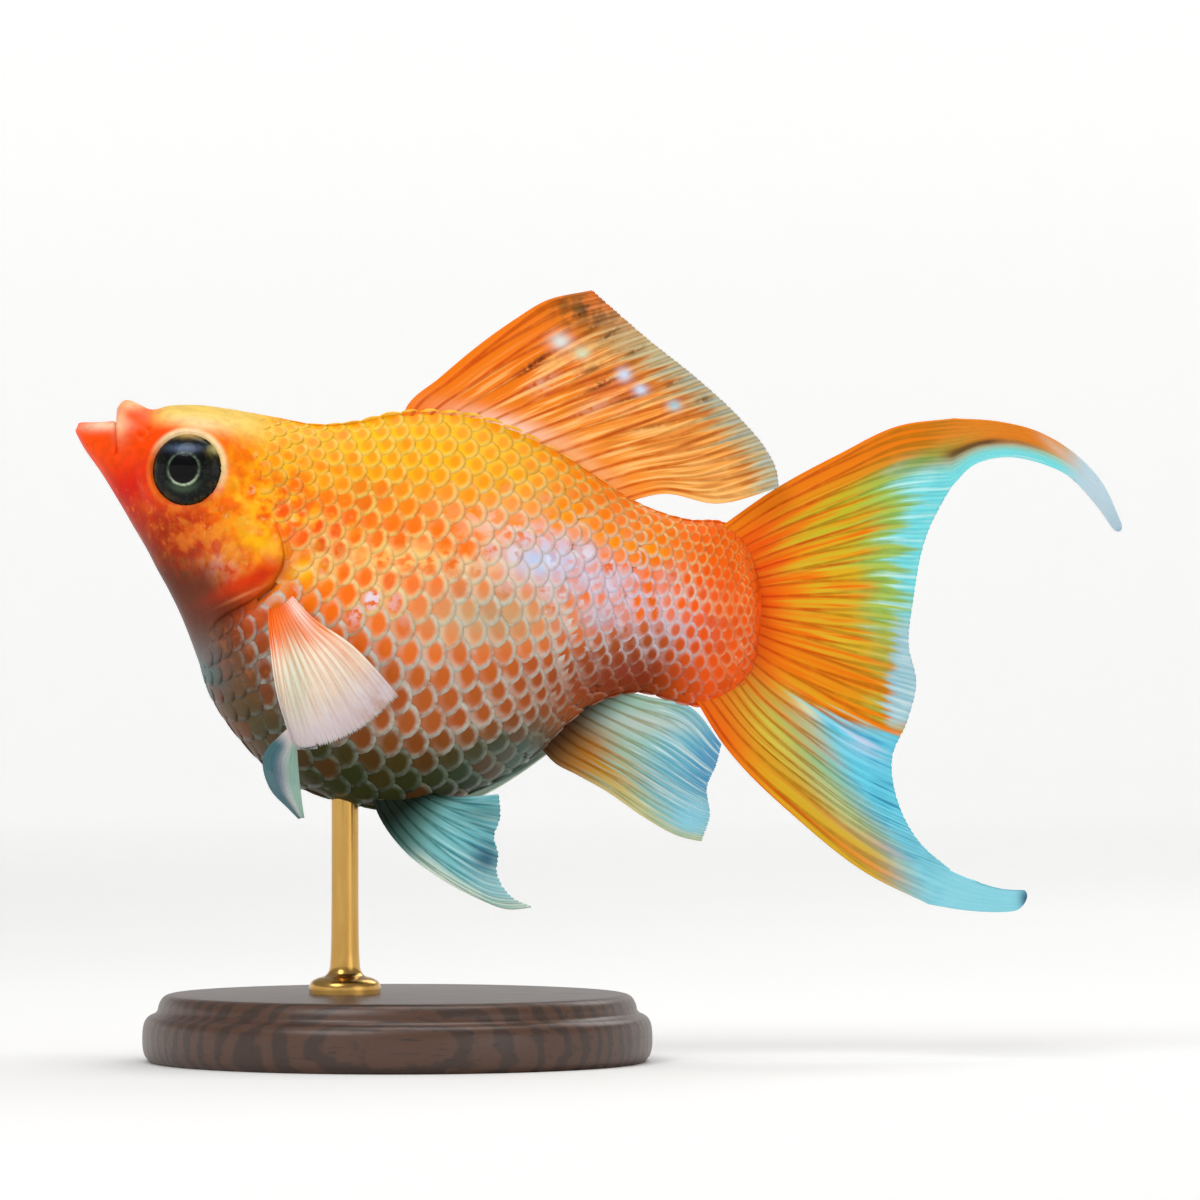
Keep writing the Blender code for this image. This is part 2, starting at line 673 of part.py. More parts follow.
def make_pectoral_fin(name, side, body):
    """The fan beside the gill cover, with its lowest rays drawn out in a twisted streamer."""
    rays, rows, tail_rows, tail_columns = 9, 7, 6, 6
    upper = curve_through([(14.1, 21.75), (16.0, 19.7), (18.7, 17.8), (21.9, 14.4)])
    lower = curve_through([(13.1, 20.7), (13.3, 18.0), (13.9, 14.2), (14.5, 12.3)])
    root = curve_through([(14.1, 21.75), (13.1, 20.7)])
    fan_end = (15.15, 11.1)
    margin = curve_through([(21.9, 14.4), (19.6, 12.4), (17.0, 11.2), fan_end, (14.5, 12.3)])
    fan = patch(upper, lower, root, margin)
    outer = curve_through([(14.5, 12.3), (12.95, 10.5), (13.45, 8.3), (14.55, 7.15), (15.3, 6.45)])
    inner = curve_through([fan_end, (15.3, 9.3), (15.5, 7.6), (15.65, 6.5)])
    u, v = fin_grid(rows, rays)
    crest = crests(2 * rays + 1)[None, :]
    ends = 1 - tail_columns / (2 * rays)
    depth = np.where(v > ends, 0.0, 0.03)
    flat = fan(scalloped(u, crest, depth), v)
    beyond = np.linspace(0, 1, tail_rows + 1)[1:, None]
    across = np.clip((np.linspace(0, 1, 2 * rays + 1)[None, :] - ends) / (1 - ends), 0, 1)
    across = np.broadcast_to(across, (tail_rows, 2 * rays + 1))
    along = np.broadcast_to(beyond, across.shape)
    edge = across[..., None]
    streamer = inner(along) * (1 - edge) + outer(along) * edge
    flat = np.concatenate([flat, streamer])
    reach = np.concatenate([u, 1 + along * 0.55])
    spread = np.concatenate([v, np.broadcast_to(v[:1], along.shape)])
    rise = np.clip(reach / 0.22, 0, 1)
    stand_off = 5.9 + 2.1 * rise**2 * (3 - 2 * rise) + 2.1 * reach - 0.5 * np.clip(reach - 1, 0, 1)
    twist = 0.45 * np.concatenate([0 * u, np.sin(along * math.pi) * (across - 0.5)])
    ripple = 0.16 * reach * np.sin(spread * 10.0)
    half = ridged(np.minimum(reach, 1.0), np.broadcast_to(crest, reach.shape))
    half[rows:] = MEMBRANE / 2
    half[rows + 1 :] *= np.linspace(1.0, 0.6, tail_rows)[:, None]
    cells = np.ones((rows + tail_rows, 2 * rays), bool)
    cells[rows:, : 2 * rays - tail_columns] = False
    middle = in_space(flat, side * (stand_off + twist + ripple))
    fin = blade(name, middle, half, "fin_white", cells)
    lobe_at = skin_beside(13.7, 20.8, side) + (0, side * 0.15, 0)
    lobe = ellipsoid(f"{name}_lobe", lobe_at, (0.80, 0.60, 1.35), "fin_white", 14, 10)
    fuse(fin, [lobe], "MANIFOLD")
    return clear_of_body(fin, body)


UPPER_SHARE = 0.16
LOWER_SHARE = 0.93
TAIL_UPPER_EDGE = ((43.0, 25.6), (46.6, 28.1), (51.0, 30.5), (54.9, 32.35), (58.6, 32.87))
TAIL_LOWER_EDGE = ((41.3, 14.2), (43.2, 11.15), (48.3, 6.0), (52.8, 2.5), (56.9, 0.47))
TAIL_ROOT = ((43.0, 25.6), (43.8, 24.6), (44.7, 22.4), (44.9, 20.0), (44.6, 17.2), (43.4, 15.2), (41.3, 14.2))
TAIL_MARGIN = (
    (58.4, 28.2),
    (56.9, 25.3),
    (55.9, 20.7),
    (55.6, 17.7),
    (56.1, 15.3),
    (55.5, 12.7),
    (54.5, 10.3),
    (54.9, 7.2),
    (56.3, 4.6),
    (58.3, 2.8),
)
UPPER_OUTER = ((58.6, 32.87), (61.6, 32.67), (64.3, 32.0), (66.4, 30.8), (68.3, 28.95), (70.0, 25.5))
UPPER_INNER = ((58.4, 28.2), (59.9, 29.7), (61.9, 30.25), (64.3, 29.9), (66.1, 29.15), (67.95, 27.3), (69.45, 25.2))
LOWER_OUTER = ((56.9, 0.47), (59.3, 0.1), (61.6, 0.0), (63.0, 0.12))
LOWER_INNER = ((58.3, 2.8), (59.9, 2.1), (61.6, 1.6), (63.55, 1.48))


def tail_margin(v):
    """The fan's outer edge: the start of each streamer, and the bay between them."""
    v = np.asarray(v, float)
    upper = np.array([TAIL_UPPER_EDGE[-1], TAIL_MARGIN[0]])
    lower = np.array([TAIL_MARGIN[-1], TAIL_LOWER_EDGE[-1]])
    high = np.clip(v / UPPER_SHARE, 0, 1)[..., None]
    low = np.clip((v - LOWER_SHARE) / (1 - LOWER_SHARE), 0, 1)[..., None]
    bay = curve_through(TAIL_MARGIN)(np.clip((v - UPPER_SHARE) / (LOWER_SHARE - UPPER_SHARE), 0, 1))
    first = upper[0] * (1 - high) + upper[1] * high
    last = lower[0] * (1 - low) + lower[1] * low
    v = v[..., None]
    return np.where(v < UPPER_SHARE, first, np.where(v > LOWER_SHARE, last, bay))


def tail_sway(x, z):
    """The lobes bend to either side, more towards their tips, and the sheet ripples a little."""
    aft = np.clip((x - 45.0) / 24.0, 0, 1.2)
    height = (z - 20.0) / 14.0
    return 2.6 * aft**1.6 * height + 0.28 * aft * np.sin(z * 0.9 + x * 0.35)


def tail_part(name, v_from, v_to, columns, finish, body, cuts):
    """One part of the fan between two rays, cut clear of its neighbours by the gap."""
    rows = 10
    fan = patch(
        curve_through(TAIL_UPPER_EDGE), curve_through(TAIL_LOWER_EDGE), curve_through(TAIL_ROOT), tail_margin
    )
    share = np.linspace(0, 1, rows + 1)[:, None]
    inset = 0.0125 * (1 - share) + 0.0050 * share
    low = v_from + inset * cuts[0]
    high = v_to - inset * cuts[1]
    v = low + (high - low) * np.linspace(0, 1, columns + 1)[None, :]
    free = (v > UPPER_SHARE + 0.02) & (v < LOWER_SHARE - 0.02)
    u = share * np.where(free, 1.012, 0.992)
    crest = crests(columns + 1)[None, :]
    flat = fan(scalloped(u, crest, np.where(free, 0.02, 0.0)), v)
    middle = in_space(flat, tail_sway(flat[..., 0], flat[..., 1]))
    half = ridged(u, crest, 0.62, np.where(free, 0.55, 1.0))
    return clear_of_body(blade(name, middle, half, finish), body)


def streamer(name, outer_edge, inner_edge, start, end, rows, columns, finish, taper):
    """A length of the drawn-out rays at the end of a lobe."""
    outer, inner = curve_through(outer_edge), curve_through(inner_edge)
    along = np.linspace(start, end, rows + 1)[:, None]
    across = np.linspace(0, 1, columns + 1)[None, :]
    along, across = np.broadcast_arrays(along, across)
    edge = across[..., None]
    flat = outer(along) * (1 - edge) + inner(along) * edge
    middle = in_space(flat, tail_sway(flat[..., 0], flat[..., 1]))
    crest = crests(columns + 1)[None, :]
    thick = 1 - taper * np.clip((along - 0.55) / 0.45, 0, 1)
    half = (MEMBRANE / 2 + RAY_RISE * crest) * thick
    return blade(name, middle, half, finish)


def make_tail_fin(body):
    """The lyre tail: three parts of the fan, and a streamer from each lobe."""
    return [
        tail_part("tail_fin_upper", 0.0, 0.40, 14, "fin_orange", body, (0, 1)),
        tail_part("tail_fin_middle", 0.40, 0.64, 8, "fin_orange", body, (1, 1)),
        tail_part("tail_fin_lower", 0.64, 1.0, 12, "fin_blue", body, (1, 0)),
        streamer("tail_streamer_upper", UPPER_OUTER, UPPER_INNER, 0.01, 0.53, 8, 6, "fin_orange", 0.3),
        streamer("tail_streamer_tip", UPPER_OUTER, UPPER_INNER, 0.552, 1.0, 8, 6, "fin_white", 0.5),
        streamer("tail_streamer_lower", LOWER_OUTER, LOWER_INNER, 0.03, 1.0, 6, 6, "fin_blue", 0.3),
    ]


def turned_piece(name, axis_x, profile, finish, around):
    """A solid of revolution about an upright axis, from its profile of radius and height."""
    turn = angles_round(around)
    rings = [
        np.stack([axis_x + r * np.cos(turn), r * np.sin(turn), np.full(around, z - LIFT)], axis=-1)
        for r, z in profile
    ]
    top = (axis_x, 0.0, profile[0][1] - LIFT)
    foot = (axis_x, 0.0, profile[-1][1] - LIFT)
    return loft(name, np.array(rings), finish, top, foot)


def make_stand(body):
    """A turned base that lies flat, and a rod with a small foot that rises to the belly."""
    edge = BASE_RADIUS
    base_profile = (
        (edge - 2.2, BASE_HEIGHT),
        (edge - 1.5, BASE_HEIGHT - 0.15),
        (edge - 1.1, BASE_HEIGHT - 0.6),
        (edge - 1.0, BASE_HEIGHT - 1.2),
        (edge - 0.4, BASE_HEIGHT - 1.5),
        (edge, BASE_HEIGHT - 2.2),
        (edge, 0.6),
        (edge - 0.5, 0.0),
    )
    base = turned_piece("stand_base", BASE_X, base_profile, "walnut", 48)
    low = BASE_HEIGHT + GAP
    foot = low + ROD_FOOT_HEIGHT
    rod_profile = (
        (ROD_RADIUS, LIFT + 9.5),
        (ROD_RADIUS, foot + 0.9),
        (ROD_RADIUS + 0.25, foot + 0.25),
        (ROD_FOOT_RADIUS - 0.5, foot),
        (ROD_FOOT_RADIUS, foot - 0.3),
        (ROD_FOOT_RADIUS, low),
    )
    rod = turned_piece("stand_rod", ROD_X, rod_profile, "brass", 24)
    return [base, clear_of_body(rod, body)]


def main():
    clear_scene()
    body = whole_body("body_cutter", GAP)
    hide_helper(body)
    nodes = [make_lower_jaw(), make_head(), make_torso(), make_tail_stalk()]
    nodes += [make_eye("eye_left", -1), make_eye("eye_right", 1)]
    nodes += [make_dorsal_fin(body), make_anal_fin(body), *make_pelvic_fins(body)]
    nodes += [make_pectoral_fin("pectoral_fin_left", -1, body)]
    nodes += [make_pectoral_fin("pectoral_fin_right", 1, body)]
    nodes += make_tail_fin(body)
    nodes += make_stand(body)
    for node in nodes:
        shade_round(node)


main()
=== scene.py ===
"""Looks for a balloon lyretail molly, a still model on a turned stand.

Each section makes one piece or one pair. Sizes are in millimetres in the fish's own frame, where x
runs aft from the tip of the jaw and z up from the lowest fin tip, until in_place() moves them over
the base.
"""

import math

import bpy
import numpy as np
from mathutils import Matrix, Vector


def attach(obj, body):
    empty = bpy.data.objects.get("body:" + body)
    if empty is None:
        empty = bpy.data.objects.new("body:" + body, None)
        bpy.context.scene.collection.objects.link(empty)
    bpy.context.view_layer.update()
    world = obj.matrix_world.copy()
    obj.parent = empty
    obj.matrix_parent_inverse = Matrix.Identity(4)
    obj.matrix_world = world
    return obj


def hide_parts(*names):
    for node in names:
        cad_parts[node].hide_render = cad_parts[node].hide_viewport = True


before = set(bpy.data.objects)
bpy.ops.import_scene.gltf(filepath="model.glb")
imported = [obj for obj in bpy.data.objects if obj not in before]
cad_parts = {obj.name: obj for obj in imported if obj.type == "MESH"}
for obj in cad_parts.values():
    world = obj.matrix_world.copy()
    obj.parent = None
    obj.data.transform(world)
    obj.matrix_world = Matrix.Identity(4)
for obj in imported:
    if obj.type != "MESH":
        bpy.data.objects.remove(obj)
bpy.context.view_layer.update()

# The skin: one wet hide from the lower jaw to the root of the tail, bare on the face and thin under
# the scales elsewhere. It is lofted over slices from back to belly, with the lips, the rings round
# the eyes, the nostrils and the raised gill covers worked into the same surface.
LENGTH, LIFT = 69.8, 10.0
JAW_SLICES = (
    ((0.12, 32.25), (0.12, 31.75), 0.55, 0.50, 0.55),
    ((0.60, 32.50), (0.70, 30.70), 1.25, 0.48, 0.52),
    ((1.60, 32.70), (1.90, 29.00), 1.85, 0.45, 0.50),
    ((2.60, 32.95), (3.00, 27.15), 2.35, 0.45, 0.50),
)
BODY_SLICES = (
    ((2.85, 33.50), (3.15, 26.95), 2.35, 0.46, 0.50),
    ((3.60, 34.05), (3.80, 25.80), 2.80, 0.44, 0.47),
    ((5.10, 33.45), (4.80, 24.10), 3.45, 0.42, 0.44),
    ((6.40, 33.70), (5.50, 22.75), 3.95, 0.41, 0.42),
    ((8.40, 33.72), (6.30, 21.30), 4.45, 0.42, 0.43),
    ((10.75, 33.40), (7.20, 19.40), 5.05, 0.46, 0.47),
    ((13.25, 32.95), (8.15, 16.90), 5.75, 0.52, 0.53),
    ((15.95, 32.40), (9.10, 14.25), 6.45, 0.56, 0.57),
    ((18.60, 32.50), (10.95, 11.55), 7.10, 0.58, 0.60),
    ((21.25, 33.05), (13.60, 9.00), 7.60, 0.60, 0.61),
    ((23.95, 33.20), (17.25, 7.45), 7.90, 0.60, 0.62),
    ((26.95, 32.85), (21.25, 6.80), 7.90, 0.59, 0.62),
    ((29.95, 31.75), (25.25, 7.45), 7.40, 0.57, 0.62),
    ((32.95, 30.10), (28.95, 9.20), 6.60, 0.55, 0.62),
    ((35.25, 28.60), (31.10, 10.80), 5.75, 0.52, 0.62),
    ((37.05, 27.45), (32.90, 12.60), 5.00, 0.50, 0.63),
    ((38.95, 26.60), (35.10, 14.10), 4.15, 0.50, 0.64),
    ((40.95, 26.05), (37.75, 14.65), 3.20, 0.50, 0.65),
    ((43.05, 25.90), (41.40, 13.80), 2.35, 0.50, 0.65),
    ((44.35, 25.00), (43.80, 14.60), 1.85, 0.50, 0.62),
    ((45.20, 23.45), (45.10, 16.15), 1.55, 0.50, 0.58),
    ((45.80, 21.20), (45.75, 18.50), 1.20, 0.50, 0.50),
)
LAST_SLICE = len(BODY_SLICES) - 1.0
EYE_X, EYE_Z = 7.67, 29.35
EYE_RING, EYE_GROOVE, EYE_HOLE = 2.58, 2.36, 1.90
NOSTRILS = ((4.55, 31.75, 0.20), (5.05, 32.15, 0.15))
NOSTRIL_DEPTH, NOSTRIL_RIM = 0.28, 0.06
MOUTH_CORNER, LIP_RISE, JAW_ROLL, JAW_FLOOR = 0.44, 0.34, 0.22, 0.40
COVER_RISE, CHEEK_DIP, FOLD_DIP, COAT_DIP = 0.45, 0.16, 0.20, 0.07
CELL_MM, CELL_RISE, JOIN_PASSES = 1.5, 0.045, 120
GILL_SLICE, GILL_REACH, GILL_LEVEL = 6.0, 1.6, 0.48
GILL_SPREAD_ABOVE, GILL_SPREAD_BELOW = 0.18, 0.26


def smooth_step(low, high, value):
    share = np.clip((np.asarray(value, float) - low) / (high - low), 0, 1)
    return share * share * (3 - 2 * share)


def hermite(values, slopes, knots, where):
    index = np.clip(np.searchsorted(knots, where, side="right") - 1, 0, len(knots) - 2)
    width = knots[index + 1] - knots[index]
    q = ((where - knots[index]) / width)[..., None]
    width = width[..., None]
    first = (2 * q**3 - 3 * q**2 + 1) * values[index]
    rise = (q**3 - 2 * q**2 + q) * width * slopes[index]
    last = (-2 * q**3 + 3 * q**2) * values[index + 1]
    fall = (q**3 - q**2) * width * slopes[index + 1]
    return first + rise + last + fall


def slices_at(table, where):
    rows = np.array([[*back, *belly, *rest] for back, belly, *rest in table])
    knots = np.arange(len(rows), dtype=float)
    return hermite(rows, np.gradient(rows, knots, axis=0), knots, np.asarray(where, float))


def level_of(angle):
    return (1 - np.cos(angle)) / 2


def hide(table, where, angle):
    """Points on a lofted surface. The angle is 0 at the back and runs down the fish's left side."""
    row = slices_at(table, where)
    level = level_of(angle)
    back, belly = row[..., 0:2], row[..., 2:4]
    bend = math.log(0.5) / np.log(row[..., 5])
    swell = np.sin(np.pi * np.clip(level, 1e-9, 1 - 1e-9) ** bend) ** row[..., 6]
    middle = back + (belly - back) * level[..., None]
    sideways = -np.sign(np.sin(angle)) * row[..., 4] * swell
    return np.stack([middle[..., 0], sideways, middle[..., 1]], axis=-1)


def outward(rings):
    along = np.gradient(rings, axis=0)
    closed = np.concatenate([rings[:, -1:], rings, rings[:, :1]], axis=1)
    normal = np.cross(along, (closed[:, 2:] - closed[:, :-2]) / 2)
    normal = normal / np.maximum(np.linalg.norm(normal, axis=2, keepdims=True), 1e-9)
    away = rings - rings.mean(axis=1, keepdims=True)
    facing = np.sign((away * normal).sum(axis=2, keepdims=True))
    return normal * np.where(facing == 0, 1, facing)


def gill_edge(level):
    spread = np.where(level < GILL_LEVEL, GILL_SPREAD_ABOVE, GILL_SPREAD_BELOW)
    return GILL_SLICE + GILL_REACH * np.exp(-(((level - GILL_LEVEL) / spread) ** 2))


def skin_beside(x, z, side):
    """The point of the skin beside a place in the side view, with its slice number and angle."""
    where = np.linspace(0, LAST_SLICE, 2400)
    rows = slices_at(BODY_SLICES, where)
    along = rows[:, 2:4] - rows[:, 0:2]
    spare = np.array([x, z]) - rows[:, 0:2]
    level = (spare * along).sum(1) / (along**2).sum(1)
    miss = np.linalg.norm(spare - along * level[:, None], axis=1)
    best = int(np.argmin(miss + 10 * np.maximum(0, np.abs(level - 0.5) - 0.5)))
    angle = math.acos(1 - 2 * min(max(level[best], 0.0), 1.0))
    spot = hide(BODY_SLICES, np.array(where[best]), np.array(angle))
    return np.array([x, side * abs(spot[1]), z]), where[best], angle


def eye_axis(side):
    _, where, angle = skin_beside(EYE_X, EYE_Z, -1)
    beside = np.array([where, where + 0.4, where - 0.4, where])
    spots = hide(BODY_SLICES, beside, angle + np.array([0, 0, 0, 0.15]))
    normal = np.cross(spots[1] - spots[2], spots[3] - spots[0])
    normal *= np.sign(-normal[1]) / np.linalg.norm(normal)
    return normal * (1, -side, 1)


def in_place(points):
    moved = np.array(points, float)
    moved[..., 0] -= LENGTH / 2
    moved[..., 2] += LIFT
    return moved * 0.001


def linked(name, data):
    made = bpy.data.objects.new(name, data)
    bpy.context.scene.collection.objects.link(made)
    return made


def give_fields(mesh, fields):
    """A number or a vector at each point of a mesh, for materials and nodes to read."""
    for field, values in fields.items():
        values = np.asarray(values, np.float32)
        kind, part = (("FLOAT", "value"), ("FLOAT_VECTOR", "vector"))[values.ndim - 1]
        mesh.attributes.new(field, kind, "POINT").data.foreach_set(part, values.reshape(-1))


def piece_from(name, points, faces, fields, finish):
    """An object from points in millimetres, with smooth faces and a number at each point per field."""
    mesh = bpy.data.meshes.new(name)
    mesh.from_pydata(in_place(points).tolist(), [], faces)
    give_fields(mesh, fields)
    mesh.materials.append(finish)
    mesh.shade_smooth()
    return linked(name, mesh)


def ring_faces(count, around, first, last):
    """Quads between rings, and a fan to a point at each end, facing out."""
    i, j = np.meshgrid(np.arange(count - 1), np.arange(around), indexing="ij")
    k = (j + 1) % around
    corners = (i * around + j, (i + 1) * around + j, (i + 1) * around + k, i * around + k)
    faces = np.stack(corners, axis=-1).reshape(-1, 4).tolist()
    for j in range(around):
        k = (j + 1) % around
        faces.append((first, j, k))
        faces.append((last, (count - 1) * around + k, (count - 1) * around + j))
    return faces


class Wire:
    """A value in a node tree, so that sums on it add their own Math nodes."""

    def __init__(self, nodes, socket):
        self.nodes, self.socket = nodes, socket

    def math(self, operation, *values, clamp=False):
        settings = {"operation": operation, "use_clamp": clamp}
        return self.nodes.node("ShaderNodeMath", settings, dict(enumerate(values)))

    def __add__(self, other):
        return self.math("ADD", self, other)

    __radd__ = __add__

    def __sub__(self, other):
        return self.math("SUBTRACT", self, other)

    def __rsub__(self, other):
        return self.math("SUBTRACT", other, self)

    def __mul__(self, other):
        return self.math("MULTIPLY", self, other)

    __rmul__ = __mul__

    def __neg__(self):
        return self.math("MULTIPLY", self, -1.0)

    def __pow__(self, other):
        return self.math("POWER", self, other)

    def exp(self):
        return self.math("EXPONENT", self)

    def sin(self):
        return self.math("SINE", self)

    def clamp(self):
        return self.math("ADD", self, 0.0, clamp=True)

    def step(self, low, high):
        """0 below low and 1 above high, smooth between them, or the other way round."""
        inputs = {"Value": self, "From Min": low, "From Max": high}
        if low > high:
            inputs = {"Value": self, "From Min": high, "From Max": low, "To Min": 1.0, "To Max": 0.0}
        return self.nodes.node("ShaderNodeMapRange", {"interpolation_type": "SMOOTHSTEP"}, inputs)


class Nodes:
    """A node tree. node() adds any node, after its settings and with its sockets fed."""

    def __init__(self, tree):
        self.tree = tree

    def feed(self, socket, value):
        if isinstance(value, Wire):
            self.tree.links.new(value.socket, socket)
        else:
            socket.default_value = value

    def node(self, kind, settings, inputs, output=0):
        made = self.tree.nodes.new(kind)
        for name, value in settings.items():
            setattr(made, name, value)
        for socket, value in inputs.items():
            self.feed(made.inputs[socket], value)
        return Wire(self, made.outputs[output])


class Finish(Nodes):
    """A material, with the place of each point in the fish's own millimetres."""

    def __init__(self, name):
        self.material = bpy.data.materials.new(name)
        self.material.use_nodes = True
        super().__init__(self.material.node_tree)
        self.shader = self.tree.nodes["Principled BSDF"]
        self.spot = self.node("ShaderNodeTexCoord", {}, {}, "Object")
        x, y, z = (self.node("ShaderNodeSeparateXYZ", {}, {0: self.spot}, axis) for axis in range(3))
        self.x, self.y, self.z = x * 1000 + LENGTH / 2, y * 1000, z * 1000 - LIFT

    def field(self, name):
        return self.node("ShaderNodeAttribute", {"attribute_name": name}, {}, "Fac")

    def noise(self, per_mm, detail, stretch=(1, 1, 1)):
        sizes = tuple(1000 * per_mm * s for s in stretch)
        scaled = self.node("ShaderNodeVectorMath", {"operation": "MULTIPLY"}, {0: self.spot, 1: sizes})
        return self.node("ShaderNodeTexNoise", {}, {"Vector": scaled, "Scale": 1.0, "Detail": detail})

    def streaks(self, across, along):
        """Uneven streaks that run along the rays of a fin."""
        sides = {0: self.field("spread") * across, 1: self.field("reach") * along}
        place = self.node("ShaderNodeCombineXYZ", {}, sides)
        return self.node("ShaderNodeTexNoise", {}, {"Vector": place, "Scale": 1.0, "Detail": 2.0})

    def mix(self, first, second, share):
        return self.node("ShaderNodeMix", {"data_type": "RGBA"}, {0: share, 6: first, 7: second}, 2)

    def patch(self, middle, reach, turn=0.0):
        """1 at a place in the side view, fading over an oval of that reach."""
        across, up = self.x - middle[0], self.z - middle[1]
        if turn:
            cos, sin = math.cos(turn), math.sin(turn)
            across, up = across * cos + up * sin, up * cos - across * sin
        across, up = across * (1 / reach[0]), up * (1 / reach[1])
        return (-(across * across + up * up)).exp()

    def wash(self, colour, *washes):
        """Layers over a colour, each with its red, green and blue and how much of it there is."""
        for shade, share in washes:
            colour = self.mix(colour, tint(*shade), share)
        return colour

    def bump(self, height, strength, distance_mm):
        inputs = {"Height": height, "Strength": strength, "Distance": distance_mm * 0.001}
        return self.node("ShaderNodeBump", {}, inputs)

    def finish_with(self, **values):
        for name, value in values.items():
            self.feed(self.shader.inputs[name.replace("_", " ").title().replace("Ior", "IOR")], value)
        return self.material

    def wet_with(self, gloss, film, film_roughness, **values):
        """Living skin: hardly glossy itself, under a thin film of water."""
        water = {"ior": 1.34, "coat_weight": film, "coat_roughness": film_roughness, "coat_ior": 1.34}
        return self.finish_with(specular_ior_level=gloss, **water, **values)


def tint(red, green, blue):
    """A colour as it looks on a screen, from 0 to 255, in the form that a shader takes."""
    shares = [c / 255 for c in (red, green, blue)]
    linear = [c / 12.92 if c <= 0.04045 else ((c + 0.055) / 1.055) ** 2.4 for c in shares]
    return (*linear, 1.0)


